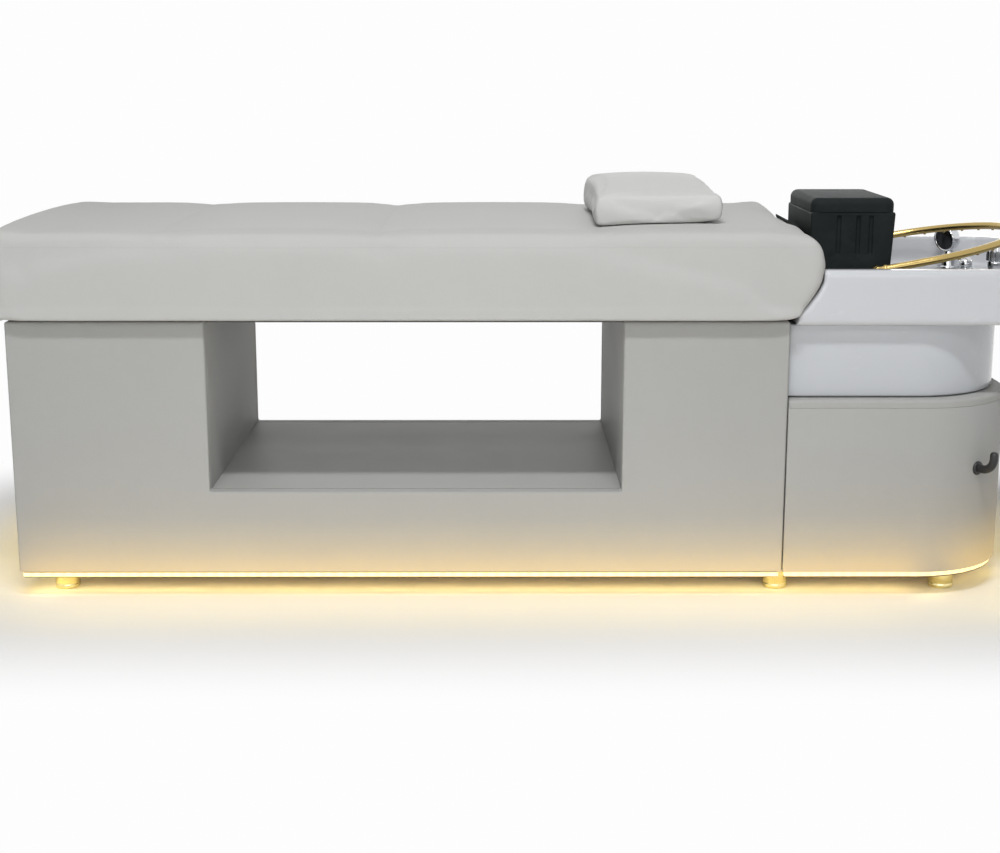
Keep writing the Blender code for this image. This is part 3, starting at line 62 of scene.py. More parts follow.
bl_info = {
    "name": "Head Spa Bed",
    "version": (1, 0, 0),
    "blender": (4, 5, 0),
    "location": "View3D > Sidebar > Spa Bed",
    "description": "Dresses a head spa bed with upholstery, basin, metalwork and lights",
    "category": "Object",
}


def low(node):
    """The lowest corner of a node of the frame."""
    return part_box(node)[0]


def high(node):
    """The highest corner of a node of the frame."""
    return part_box(node)[1]


def middle(node):
    """The centre of a node's box."""
    return (low(node) + high(node)) / 2


SEAM_X = high("head_end_panel").x
FINE = 0.0004
OVERRUN = 0.02
WELD = 0.000002
CAD_WELD = 0.00002


def length(name, description, default):
    return FloatProperty(name=name, description=description, default=default, unit="LENGTH", precision=4)


def share(name, description, default):
    return FloatProperty(name=name, description=description, default=default, min=0.0)


def count(name, description, default):
    return IntProperty(name=name, description=description, default=default, min=1)


def colour(name, description, default):
    return FloatVectorProperty(
        name=name, description=description, default=default, subtype="COLOR", size=3, min=0.0, max=1.0)


class SoftSettings(PropertyGroup):
    """Sizes and colours of the mattress, the pillow and the hide on the cabinets."""
    mattress_colour: colour("Mattress", "Colour of the mattress cover", (0.540, 0.542, 0.528))
    pillow_colour: colour("Pillow", "Colour of the pillow cover", (0.630, 0.632, 0.618))
    cabinet_colour: colour("Cabinet hide", "Colour of the hide on the cabinets", (0.420, 0.422, 0.410))
    mattress_mesh: length("Mattress mesh", "Mesh size of the mattress cloth", 0.0105)
    pillow_mesh: length("Pillow mesh", "Mesh size of the pillow cloth", 0.0055)
    pressure: share("Pressure", "Air pressure that fills the cloth", 4.0)
    steps: count("Steps", "Steps of cloth simulation", 20)
    mattress_swell: length("Mattress swell", "Furthest that a point of the mattress swells", 0.003)
    pillow_swell: length("Pillow swell", "Furthest that a point of the pillow swells", 0.004)
    channel_shares: FloatVectorProperty(
        name="Channels",
        description="Places of the sewn channels, as shares of the cabinet from its head end",
        default=(0.2458, 0.5239, 0.8021), size=3)
    channel_width: length("Channel width", "Half width of the dip at a channel", 0.040)
    channel_depth: length("Channel depth", "Depth of the dip at a channel", 0.0030)
    channel_sags: FloatVectorProperty(
        name="Channel sags", description="Share of the full dip at each channel",
        default=(0.5, 1.6, 0.5), size=3)
    edge_lift: length("Edge lift", "Rise of the long edges over the frame's cushion", 0.0095)
    foot_lift: length("Foot lift", "Rise of the foot end's edge over the frame's cushion", 0.028)
    far_lift: length("Far lift", "Rise of the far head corner", 0.0080)
    flap_press: length("Flap press", "How far the neck rest's flap presses in", 0.0045)
    near_drop: length("Near drop", "Fall of the near head corner", 0.0050)
    nose_reach: length("Nose reach", "How far the head end swells towards the basin", 0.0030)
    hem: length("Hem", "How far the cover's lower edge hangs past the board", 0.0035)
    hem_reach: length("Hem reach", "How far the cover's lower edge stands out", 0.009)
    pillow_slope: share("Pillow slope", "Fall of the pillow's top towards the head end", 0.018)
    pillow_drop: length("Pillow drop", "Fall of the pillow's near upper edge", 0.0115)
    seam_height: length("Seam height", "Height of the seam between top and sides over the underside", 0.143)
    stitch: length("Stitch", "Length of one stitch", 0.006)
    stitch_gap: length("Stitch gap", "Gap between two stitches", 0.003)
    thread: length("Thread", "Radius of the sewing thread", 0.0004)
    rear_corner: length("Rear corner", "Radius of the rear cabinet's corners", 0.200)
    rear_wall: length("Rear wall", "Thickness of the rear cabinet's bent wall", 0.022)


class BasinSettings(PropertyGroup):
    """Sizes and colours of the basin and its tub."""
    glaze: colour("Glaze", "Colour of the basin", (0.610, 0.622, 0.650))
    shell: colour("Shell", "Colour of the tub under the rim", (0.555, 0.575, 0.600))
    corner: length("Corner", "Radius of the rim's corners", 0.120)
    edge: length("Edge", "Rounding of the rim's edges", 0.008)
    rim: length("Rim", "Width of the rim round the deck", 0.033)
    deck_depth: length("Deck depth", "Drop from the rim to the deck", 0.067)
    ledge_depth: length("Ledge depth", "Drop from the rim to the neck rest's ledge", 0.027)
    nose: length("Nose", "Reach of the mattress past the seam", 0.0619)
    bowl_start: length("Bowl start", "Distance from the seam to the bowl", 0.1359)
    bowl_length: length("Bowl length", "Length of the bowl", 0.264)
    bowl_half: length("Bowl half width", "Half width of the bowl", 0.212)
    bowl_wall: length("Bowl wall", "Thickness of the bowl", 0.012)
    bowl_round: length("Bowl rounding", "Rounding of the bowl's corners", 0.055)
    mesh: length("Mesh", "Mesh size of the moulding", 0.0045)


class FittingSettings(PropertyGroup):
    """Sizes and colours of the metal, the neck rest and the plastic pieces."""
    gold: colour("Gold", "Colour of the arch and its brackets", (0.470, 0.350, 0.135))
    brass: colour("Brass", "Colour of the feet", (0.860, 0.780, 0.420))
    chrome: colour("Chrome", "Colour of the taps", (0.620, 0.635, 0.655))
    dark_chrome: colour("Dark chrome", "Colour of the shower's face", (0.045, 0.047, 0.050))
    rubber: colour("Rubber", "Colour of the neck rest", (0.017, 0.021, 0.021))
    arch_pipe: length("Arch pipe", "Radius of the arch's pipe", 0.008)
    arch_leg: length("Arch leg", "Straight length of each leg", 0.110)
    arch_half: length("Arch half width", "Distance from the middle to each leg", 0.236)
    arch_tilt: FloatProperty(name="Arch tilt", description="Rise of the arch at rest", default=0.18675,
                             subtype="ANGLE")
    nozzles: count("Nozzles", "Number of spray nozzles on the arch", 15)
    neck_corner: length("Neck rest corner", "Corner radius of the neck rest's lid", 0.022)
    groove: length("Groove", "Radius of the grooves in the neck rest", 0.0048)


class LightSettings(PropertyGroup):
    """The light bars under the cabinets and their glow on the hide."""
    tint: colour("Tint", "Colour of the light on the floor", (1.000, 0.720, 0.080))
    near_tint: colour("Near tint", "Colour of the light close to the bars", (1.000, 0.760, 0.300))
    hide_tint: colour("Hide tint", "Colour of the light on the hide", (1.000, 0.560, 0.030))
    bar: colour("Bar", "Colour of the lit bars themselves", (1.000, 0.920, 0.600))
    bar_strength: share("Bar strength", "Brightness of the lit bars", 0.55)
    wash: share("Wash", "Power of the light on the floor for each metre of bar, in watts", 0.20)
    near: share("Near", "Power of the light under the edge for each metre of bar, in watts", 0.26)
    glow: share("Glow", "Power of the light on the hide for each metre of bar, in watts", 0.25)
    lens: length("Lens", "Height of the lit lens at the top of a light bar", 0.0102)


class StageSettings(PropertyGroup):
    """The floor, the lamps and the camera."""
    lens: length("Lens", "Focal length of the camera on a sensor 36 mm wide", 0.059577)
    camera_place: FloatVectorProperty(
        name="Camera", description="Place of the camera",
        default=(-0.1005, -3.568, 1.054), subtype="TRANSLATION")
    pitch: FloatProperty(name="Pitch", description="Camera's downward tilt", default=0.2136, subtype="ANGLE")
    turn: FloatProperty(name="Turn", description="Camera's turn about the vertical", default=-0.0017,
                        subtype="ANGLE")
    floor_size: length("Floor", "Half width of the floor", 14.0)
    backdrop: colour("Backdrop", "Colour of the floor and the backdrop far away", (0.983, 0.983, 0.983))
    shade_start: length("Shade start", "Distance from the bed at which the floor starts to pale", 0.10)
    shade_end: length("Shade end", "Distance from the bed at which the floor is the backdrop's colour", 0.56)
    sky: share("Sky", "Strength of the light from all sides", 0.24)
    key: share("Key", "Power of the key lamp, in watts", 119.0)
    low_key: share("Low key", "Power of the lower key lamp, in watts", 30.0)
    overhead: share("Overhead", "Power of the lamp over the bed, in watts", 3.0)
    fill: share("Fill", "Power of the front lamp, in watts", 34.0)
    bounce: share("Bounce", "Power of the lamp low in front of the cabinets, in watts", 0.5)
    rear_fill: share("Rear fill", "Power of the rear lamp, in watts", 34.0)


class SpaBedSettings(PropertyGroup):
    """All settings of the bed."""
    soft: PointerProperty(type=SoftSettings)
    basin: PointerProperty(type=BasinSettings)
    fittings: PointerProperty(type=FittingSettings)
    lights: PointerProperty(type=LightSettings)
    stage: PointerProperty(type=StageSettings)


class Value:
    """A shader socket that takes part in sums written as plain expressions."""

    def __init__(self, finish, socket):
        self.finish = finish
        self.socket = socket

    def _sum(self, operation, *values):
        sockets = dict(enumerate(values))
        return self.finish.node("ShaderNodeMath", {"operation": operation}, sockets)

    def __add__(self, other):
        return self._sum("ADD", self, other)

    __radd__ = __add__

    def __sub__(self, other):
        return self._sum("SUBTRACT", self, other)

    def __rsub__(self, other):
        return self._sum("SUBTRACT", other, self)

    def __mul__(self, other):
        return self._sum("MULTIPLY", self, other)

    __rmul__ = __mul__

    def __truediv__(self, other):
        return self._sum("DIVIDE", self, other)

    def __pow__(self, other):
        return self._sum("POWER", self, other)

    def clamp(self):
        return self._sum("MAXIMUM", self._sum("MINIMUM", self, 1.0), 0.0)

    def far(self):
        """Distance from nought."""
        return self._sum("ABSOLUTE", self)

    def past(self, limit):
        """How much this is more than a limit, or nought."""
        return self._sum("MAXIMUM", self - limit, 0.0)

    def wave(self):
        return self._sum("SINE", self)


class Finish:
    """A material: constants are set on its shader, and nodes are added one by one."""

    def __init__(self, name, base, roughness, **constants):
        self.material = bpy.data.materials.new(name)
        self.material.use_nodes = True
        self.tree = self.material.node_tree
        self.shader = self.tree.nodes["Principled BSDF"]
        self.base = tuple(base)
        self.shader.inputs["Base Color"].default_value = (*base, 1.0)
        self.shader.inputs["Roughness"].default_value = roughness
        for words, value in constants.items():
            socket = self.shader.inputs[words.replace("_", " ").title().replace("Ior", "IOR")]
            socket.default_value = (*value, 1.0) if isinstance(value, tuple) else value
        self.material.diffuse_color = (*base, 1.0)

    def node(self, kind, settings=None, sockets=None, output=0):
        """Add a node with its settings, then the values or links of its sockets."""
        made = self.tree.nodes.new(kind)
        for word, setting in (settings or {}).items():
            if word == "stops":
                self._stops(made.color_ramp, setting)
            else:
                setattr(made, word, setting)
        for word, value in (sockets or {}).items():
            if isinstance(value, Value):
                self.tree.links.new(value.socket, made.inputs[word])
            else:
                made.inputs[word].default_value = value
        return Value(self, made.outputs[output])

    @staticmethod
    def _stops(ramp, stops):
        while len(ramp.elements) < len(stops):
            ramp.elements.new(1.0)
        for element, (place, shade) in zip(ramp.elements, stops):
            element.position = place
            element.color = (*shade, 1.0) if isinstance(shade, tuple) else (shade, shade, shade, 1.0)

    def place(self):
        """The place on the object, in metres."""
        return self.node("ShaderNodeTexCoord", output="Object")

    def axes(self, vector=None):
        """A vector, or else the place on the object, as three numbers."""
        split = self.node("ShaderNodeSeparateXYZ", sockets={0: vector or self.place()})
        outputs = split.socket.node.outputs
        return [Value(self, outputs[axis]) for axis in range(3)]

    def noise(self, scale, detail=2.0, roughness=0.5, stretch=None):
        """Cloudy noise between nought and one; scale is in features a metre."""
        place = self.place()
        if stretch:
            place = self.node("ShaderNodeVectorMath", {"operation": "MULTIPLY"}, {0: place, 1: stretch})
        return self.node("ShaderNodeTexNoise", sockets={
            "Vector": place, "Scale": scale, "Detail": detail, "Roughness": roughness})

    def cells(self, scale):
        """Distance inside round cells."""
        sockets = {"Vector": self.place(), "Scale": scale}
        return self.node("ShaderNodeTexVoronoi", sockets=sockets, output="Distance")

    def mix(self, factor, first, second):
        """A colour between two colours."""
        first, second = ((*shade, 1.0) if isinstance(shade, tuple) else shade for shade in (first, second))
        return self.node("ShaderNodeMix", {"data_type": "RGBA"}, {0: factor, 6: first, 7: second}, output=2)

    def tone(self, factor, spread):
        """The base colour, darker and lighter by a share."""
        dark = tuple(part * (1 - spread) for part in self.base)
        light = tuple(min(1.0, part * (1 + spread)) for part in self.base)
        return self.mix(factor, dark, light)

    def feed(self, word, value):
        """Drive a socket of the shader."""
        self.tree.links.new(value.socket, self.shader.inputs[word])
        return self

    def bump(self, height, distance, strength=1.0):
        """Raise the surface by a height between nought and one."""
        made = self.node("ShaderNodeBump", sockets={
            "Height": height, "Distance": distance, "Strength": strength}, output="Normal")
        return self.feed("Normal", made)


FINISHES = {}


def finish(name):
    """The named material, made once."""
    if name not in FINISHES:
        FINISHES[name] = MAKERS[name](name, bpy.context.scene.spa_bed).material
    return FINISHES[name]


def hide(name, base, roughness, fold, gloss):
    """Leatherette: fine pebbled grain, faint folds and slow changes of tone."""
    made = Finish(name, base, roughness, specular_ior_level=gloss)
    cloud, patch = made.noise(3.0, 3.0), made.noise(17.0, 4.0)
    pebble, crease = made.cells(620.0), made.noise(55.0, 6.0, 0.62)
    long_fold = made.noise(7.0, 2.0, 0.4, (0.5, 1.6, 1.0))
    made.feed("Base Color", made.tone((cloud * 0.6 + patch * 0.25 + pebble * 0.15).clamp(), 0.05))
    made.feed("Roughness", roughness - 0.07 + patch * 0.1 + pebble * 0.05)
    made.bump(pebble * 0.22 + crease * 0.28 + long_fold * fold, 0.0022, 0.35)
    return made


def mattress_finish(name, settings):
    """The mattress cover, with the groove of the seam round its top and painted shade along that groove."""
    soft = settings.soft
    made = Finish(name, soft.mattress_colour, 0.55, specular_ior_level=0.02)
    cloud, patch = made.noise(3.0, 3.0), made.noise(17.0, 4.0)
    pebble, crease = made.cells(620.0), made.noise(48.0, 6.0, 0.62)
    along = made.axes()
    seam_z = low("mattress").z + soft.seam_height
    seam = (1 - (along[2] - seam_z).far() / 0.0022).clamp()
    pucker = made.noise(42.0, 2.0, 0.5, (1.0, 1.0, 0.25))
    near_seam = (1 - (along[2] - seam_z).far() / 0.022).clamp()
    shade = made.tone((cloud * 0.6 + patch * 0.25 + pebble * 0.15).clamp(), 0.045)
    # Painted shade: along the seam the colour is mixed towards a darker copy of the cover, as shade in the
    # seam's groove.
    dark = tuple(part * 0.74 for part in soft.mattress_colour)
    made.feed("Base Color", made.mix(seam * 0.15, shade, dark))
    made.feed("Roughness", 0.5 + patch * 0.1 + pebble * 0.05)
    folds = made.noise(6.0, 2.0, 0.4, (0.6, 1.5, 1.2))
    height = pebble * 0.16 + crease * 0.2 + folds * 0.6 - seam * 0.12 + pucker * near_seam * 0.25
    made.bump(height, 0.0026, 0.35)
    return made


def thread_finish(name, settings):
    """Twisted sewing thread."""
    made = Finish(name, tuple(part * 0.92 for part in settings.soft.mattress_colour), 0.7)
    across = made.axes()
    twist = ((across[0] + across[1] + across[2]) * 4200.0).wave()
    made.bump(twist * 0.5 + 0.5, 0.0002, 0.6)
    made.feed("Base Color", made.tone((twist * 0.5 + 0.5).clamp(), 0.12))
    return made


def glaze(name, base, roughness):
    """Glossy moulded acrylic with a faint orange peel and a few fine scuffs."""
    made = Finish(name, base, roughness, coat_weight=0.25, coat_roughness=0.05, specular_ior_level=0.4)
    cloud, ripple = made.noise(4.0, 2.0), made.noise(34.0, 2.0)
    scuff = made.noise(26.0, 8.0, 0.7, (1.0, 7.0, 3.0))
    made.feed("Base Color", made.tone(cloud, 0.02))
    made.feed("Roughness", roughness + ((scuff - 0.58) * 1.2).clamp())
    made.bump(ripple, 0.0005, 0.12)
    return made


def metal(name, base, roughness, brush, spread, smudge):
    """Plated metal with fine brush lines and smudges in its gloss."""
    made = Finish(name, base, roughness, metallic=1.0)
    lines = made.noise(120.0, 5.0, 0.6, (1.0, 1.0, 9.0))
    cloud = made.noise(38.0, 4.0, 0.6)
    made.feed("Base Color", made.tone((lines * 0.5 + cloud * 0.5).clamp(), spread))
    made.feed("Roughness", (roughness - smudge * 0.4 + cloud * smudge).clamp())
    made.bump(lines, 0.0002, brush)
    return made


def rubber_finish(name, settings):
    """Moulded rubber: nearly black, with a fine matt texture and paler rubbed patches."""
    base = settings.fittings.rubber
    made = Finish(name, base, 0.55, specular_ior_level=0.04)
    grit, cloud = made.noise(900.0, 3.0, 0.6), made.noise(22.0, 5.0, 0.6)
    made.feed("Base Color", made.mix(((cloud - 0.45) * 1.6).clamp(), tuple(base), (0.030, 0.036, 0.035)))
    made.feed("Roughness", 0.46 + cloud * 0.2)
    made.bump(grit * 0.6 + cloud * 0.4, 0.0004, 0.25)
    return made


def plastic(name, base, roughness, grain=700.0):
    """Moulded plastic with a fine spark texture."""
    made = Finish(name, base, roughness)
    spark, cloud = made.noise(grain, 2.0), made.noise(14.0, 4.0)
    made.feed("Base Color", made.tone(cloud, 0.06))
    made.feed("Roughness", roughness - 0.05 + cloud * 0.1)
    made.bump(spark, 0.00015, 0.4)
    return made


def hose_finish(name, settings):
    """Ribbed rubber hose."""
    made = Finish(name, (0.03, 0.03, 0.031), 0.55)
    along = made.axes()
    rib = (((along[0] + along[1] + along[2]) * 1400.0).wave() * 0.5 + 0.5)
    made.feed("Roughness", 0.5 + made.noise(60.0, 4.0) * 0.15)
    made.bump(rib, 0.0004, 0.4)
    return made


def board_finish(name, settings):
    """Plywood with long grain and darker veins."""
    made = Finish(name, (0.43, 0.31, 0.19), 0.62)
    grain = made.noise(24.0, 7.0, 0.65, (0.12, 1.6, 1.6))
    vein = made.noise(70.0, 4.0, 0.6, (0.04, 2.0, 2.0))
    wood = (grain * 0.75 + vein * 0.25).clamp()
    made.feed("Base Color", made.mix(wood, (0.30, 0.20, 0.11), (0.56, 0.43, 0.28)))
    made.feed("Roughness", 0.55 + vein * 0.15)
    made.bump(grain * 0.5 + vein * 0.5, 0.0005, 0.4)
    return made


def light_finish(name, settings):
    """A frosted light bar with the faint row of its lamps; outside its lens the housing is painted the dark
    warm brown of the shaded gap under the bed.
    """
    lights = settings.lights
    made = Finish(name, lights.bar, 0.5, emission_strength=lights.bar_strength)
    along = made.axes()
    lamps = ((along[0] + along[1]) * 2 * math.pi / 0.022).wave() * 0.5 + 0.5
    upright = made.axes(made.node("ShaderNodeNewGeometry", output="Normal"))[2].far()
    lens = high("light_strip_front").z - lights.lens
    sides = (1.4 - upright * 2.0).clamp() * ((along[2] - lens) / 0.0008).clamp()
    shaded = tuple(part * 0.88 for part in lights.bar)
    bright = made.mix(lamps, shaded, tuple(lights.bar))
    # Painted shade: outside the lens the bar takes the dark warm brown of the shade under the bed, faintly
    # tinted by the lamps.
    made.feed("Base Color", made.mix(sides, (0.10, 0.06, 0.02), bright))
    made.feed("Emission Color", made.mix(sides, (0.0, 0.0, 0.0), bright))
    return made


def shadow_line_lining_finish(name, settings):
    """Dark woven lining under the mattress, its dark colour painted shade that stands for the shadow line
    between the mattress and the cabinet.
    """
    # Painted shade: the near-black base colour stands for the shadow line between mattress and cabinet.
    made = Finish(name, (0.150, 0.150, 0.146), 0.85, specular_ior_level=0.2)
    along = made.axes()
    weave = (along[0] * 2600.0).wave() * (along[1] * 2600.0).wave() * 0.5 + 0.5
    made.feed("Base Color", made.tone((weave * 0.6 + made.noise(40.0, 3.0) * 0.4).clamp(), 0.3))
    made.bump(weave, 0.0003, 0.5)
    return made


MAKERS = {
    "lining": shadow_line_lining_finish,
    "mattress_cover": mattress_finish,
    "pillow_cover": lambda name, settings: hide(name, settings.soft.pillow_colour, 0.50, 0.8, 0.02),
    "cabinet_hide": lambda name, settings: hide(name, settings.soft.cabinet_colour, 0.52, 0.25, 0.08),
    "thread": thread_finish,
    "basin_glaze": lambda name, settings: glaze(name, settings.basin.glaze, 0.18),
    "tub_shell": lambda name, settings: glaze(name, settings.basin.shell, 0.2),
    "gold": lambda name, settings: metal(name, settings.fittings.gold, 0.2, 0.12, 0.12, 0.16),
    "brass": lambda name, settings: metal(name, settings.fittings.brass, 0.16, 0.08, 0.08, 0.10),
    "chrome": lambda name, settings: metal(name, settings.fittings.chrome, 0.09, 0.03, 0.03, 0.06),
    "dark_chrome": lambda name, settings: metal(name, settings.fittings.dark_chrome, 0.12, 0.02, 0.05, 0.05),
    "steel": lambda name, settings: metal(name, (0.42, 0.425, 0.43), 0.34, 0.3, 0.08, 0.12),
    "rubber": rubber_finish,
    "black_plastic": lambda name, settings: plastic(name, (0.016, 0.016, 0.017), 0.4),
    "tank_plastic": lambda name, settings: plastic(name, (0.62, 0.65, 0.65), 0.35, 260.0),
    "pipe_plastic": lambda name, settings: plastic(name, (0.24, 0.25, 0.26), 0.45, 500.0),
    "hose_rubber": hose_finish,
    "plywood": board_finish,
    "light_bar": light_finish,
}


def dress(node, name):
    """Give a node of the frame a finish."""
    NODES[node].data.materials.clear()
    NODES[node].data.materials.append(finish(name))


def part(mesh, name="shape"):
    """A mesh as a working object."""
    made = bpy.data.objects.new(name, mesh)
    bpy.context.scene.collection.objects.link(made)
    return made


def to_mesh(work):
    """The mesh of a bmesh, which is freed."""
    mesh = bpy.data.meshes.new("shape")
    work.to_mesh(mesh)
    work.free()
    return mesh


def from_bmesh(work):
    return part(to_mesh(work))


def settle(target, *helpers):
    """The evaluated mesh of a working object; the object and its helpers go."""
    bpy.context.view_layer.update()
    seen = target.evaluated_get(bpy.context.evaluated_depsgraph_get())
    mesh = bpy.data.meshes.new_from_object(seen)
    mesh.transform(target.matrix_world)
    for used in (target, *helpers):
        bpy.data.objects.remove(used, do_unlink=True)
    return mesh


def piece(name, mesh, look, body, slot, *replaced, angle=40.0):
    """A finished piece of the bed, on its body, in place of nodes of the frame."""
    mesh.materials.clear()
    mesh.materials.append(finish(look))
    mesh.shade_smooth()
    mesh.set_sharp_from_angle(angle=math.radians(angle))
    mesh.name = name
    made = part(mesh, name)
    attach(made, body)
    if replaced:
        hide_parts(*replaced)
    return made


def soften(target, width, segments=4, angle=30.0):
    """Round the sharp edges of a working object."""
    edge = target.modifiers.new("edge", "BEVEL")
    edge.width = width
    edge.segments = segments
    edge.limit_method = "ANGLE"
    edge.angle_limit = math.radians(angle)
    return target


def boolean(target, operation, *others):
    """Cut or join working objects and settle the result."""
    for other in others:
        step = target.modifiers.new("step", "BOOLEAN")
        step.operation = operation
        step.solver = "EXACT"
        step.object = other
    return part(settle(target, *others))


def block(lowest, highest, edge=0.0, segments=4):
    """A block between two corners, with round edges."""
    lowest, highest = Vector(lowest), Vector(highest)
    work = bmesh.new()
    bmesh.ops.create_cube(work, size=1.0)
    bmesh.ops.scale(work, vec=highest - lowest, verts=work.verts)
    bmesh.ops.translate(work, vec=(lowest + highest) / 2, verts=work.verts)
    made = from_bmesh(work)
    return soften(made, edge, segments) if edge else made


def rounded(points, radius, steps=12):
    """An outline with round corners; radius is one value or one for each corner."""
    radii = radius if isinstance(radius, (list, tuple)) else [radius] * len(points)
    outline = []
    for index, corner in enumerate(points):
        corner = Vector(corner)
        before = (Vector(points[index - 1]) - corner).normalized()
        after = (Vector(points[(index + 1) % len(points)]) - corner).normalized()
        if radii[index] <= 0:
            outline.append(corner)
            continue
        half = before.angle(after) / 2
        centre = corner + (before + after).normalized() * (radii[index] / math.sin(half))
        start = corner + before * (radii[index] / math.tan(half)) - centre
        end = corner + after * (radii[index] / math.tan(half)) - centre
        sweep = start.angle_signed(end)
        for step in range(steps + 1):
            outline.append(centre + Matrix.Rotation(-sweep * step / steps, 2) @ start)
    return outline


def rectangle(start, end):
    """The four corners of a rectangle between two of them, in order."""
    return [(start[0], start[1]), (end[0], start[1]), (end[0], end[1]), (start[0], end[1])]


def plate(outline, start, end, plane="XY", edge=0.0, segments=4):
    """A flat outline in the XY or XZ plane, raised from start to end across it."""

    def spread(first, second, third):
        return (first, second, third) if plane == "XY" else (first, third, second)

    work = bmesh.new()
    face = work.faces.new([work.verts.new(spread(point[0], point[1], start)) for point in outline])
    raised = bmesh.ops.extrude_face_region(work, geom=[face])["geom"]
    moved = [item for item in raised if isinstance(item, bmesh.types.BMVert)]
    bmesh.ops.translate(work, vec=Vector(spread(0.0, 0.0, end - start)), verts=moved)
    bmesh.ops.recalc_face_normals(work, faces=work.faces)
    made = from_bmesh(work)
    return soften(made, edge, segments) if edge else made


def capped(outline, start, end, edge, segments=6):
    """A plate whose upper edges alone are round."""
    tall = plate(outline, start - 2 * edge, end, "XY", edge, segments)
    reach = OVERRUN + max(abs(part) for point in outline for part in point)
    return boolean(tall, "DIFFERENCE", block((-reach, -reach, start - 3 * edge), (reach, reach, start)))


def lathe(profile, place=(0, 0, 0), axis=(0, 0, 1), steps=48):
    """A profile of (radius, height) points turned about an axis through a place."""
    work = bmesh.new()
    verts = [work.verts.new((radius, 0.0, height)) for radius, height in profile]
    edges = [work.edges.new(pair) for pair in zip(verts, verts[1:])]
    if profile[0][0] > 0 and profile[-1][0] > 0:
        edges.append(work.edges.new((verts[-1], verts[0])))
    bmesh.ops.spin(work, geom=verts + edges, cent=(0, 0, 0), axis=(0, 0, 1), angle=2 * math.pi, steps=steps,
                   use_duplicate=False)
    bmesh.ops.remove_doubles(work, verts=work.verts, dist=WELD)
    bmesh.ops.recalc_face_normals(work, faces=work.faces)
    turn = Vector(axis).to_track_quat("Z", "Y").to_matrix().to_4x4()
    work.transform(Matrix.Translation(Vector(place)) @ turn)
    return from_bmesh(work)


def tube(points, radius, taper=None):
    """A round bar along points; taper gives each point its share of the radius."""
    curve = bpy.data.curves.new("tube", "CURVE")
    curve.dimensions = "3D"
    curve.bevel_depth = radius
    curve.bevel_resolution = 8
    curve.use_fill_caps = True
    spline = curve.splines.new("POLY")
    spline.points.add(len(points) - 1)
    for index, place in enumerate(points):
        spline.points[index].co = (*place, 1.0)
        if taper:
            spline.points[index].radius = taper[index]
    mesh = settle(part(curve, "tube"))
    bpy.data.curves.remove(curve)
    work = bmesh.new()
    work.from_mesh(mesh)
    bmesh.ops.remove_doubles(work, verts=work.verts, dist=WELD)
    bmesh.ops.recalc_face_normals(work, faces=work.faces)
    return from_bmesh(work)


def together(*shapes):
    """Several working objects as one mesh."""
    work = bmesh.new()
    for shape in shapes:
        work.from_mesh(settle(shape))
    return to_mesh(work)


def averaged(shape, rounds):
    """Add rounds of averaging to a working object."""
    calm = shape.modifiers.new("calm", "SMOOTH")
    calm.factor = 0.5
    calm.iterations = rounds
    return shape


def finer(shape):
    """Subdivide a working object once."""
    step = shape.modifiers.new("finer", "SUBSURF")
    step.levels = 1
    return shape


def moulded(shape, size, rounds):
    """A working object given an even mesh and rounds of averaging, as soft moulding leaves it."""
    even = shape.modifiers.new("even", "REMESH")
    even.mode = "VOXEL"
    even.voxel_size = size
    return settle(averaged(shape, rounds))


def fine_mesh(node, size, rounds):
    """An even mesh over a soft node's form."""
    work = bmesh.new()
    work.from_mesh(NODES[node].data)
    bmesh.ops.remove_doubles(work, verts=work.verts, dist=CAD_WELD)
    return moulded(finer(from_bmesh(work)), size, rounds)


def swell(mesh, settings, reach, held, shrink):
    """Fill a shrunken form with air by cloth simulation, and cap how far each point moves."""
    work = bmesh.new()
    work.from_mesh(mesh)
    work.normal_update()
    for vertex in work.verts:
        vertex.co -= vertex.normal * shrink * (1 - held(vertex.co, vertex.normal))
    work.to_mesh(mesh)
    work.free()
    start = [vertex.co.copy() for vertex in mesh.vertices]
    target = part(mesh, "cloth")
    pins = target.vertex_groups.new(name="sewn")
    for index, vertex in enumerate(mesh.vertices):
        pins.add([index], min(1.0, held(vertex.co, vertex.normal)), "REPLACE")
    cloth = target.modifiers.new("cloth", "CLOTH")
    cloth.settings.use_pressure = True
    cloth.settings.uniform_pressure_force = settings.pressure
    cloth.settings.effector_weights.gravity = 0.0
    cloth.settings.vertex_group_mass = "sewn"
    cloth.settings.tension_stiffness = 12.0
    cloth.settings.compression_stiffness = 12.0
    cloth.settings.bending_stiffness = 0.6
    cloth.settings.quality = 5
    cloth.collision_settings.use_collision = False
    cloth.point_cache.frame_start = 1
    cloth.point_cache.frame_end = settings.steps
    for step in range(1, settings.steps + 1):
        bpy.context.scene.frame_set(step)
    filled = settle(target)
    bpy.context.scene.frame_set(1)
    for vertex, first in zip(filled.vertices, start):
        moved = vertex.co - first
        if moved.length > reach:
            vertex.co = first + moved.normalized() * reach
    return filled


def fitted(mesh, lowest, highest):
    """Stretch a mesh so that it fills the box between two corners."""
    points = [vertex.co for vertex in mesh.vertices]
    for axis in range(3):
        least = min(point[axis] for point in points)
        most = max(point[axis] for point in points)
        stretch = (highest[axis] - lowest[axis]) / (most - least)
        for point in points:
            point[axis] = lowest[axis] + (point[axis] - least) * stretch
    return mesh


def stepped(value, start, end):
    """A smooth rise from nought at start to one at end."""
    part = min(1.0, max(0.0, (value - start) / (end - start)))
    return part * part * (3 - 2 * part)


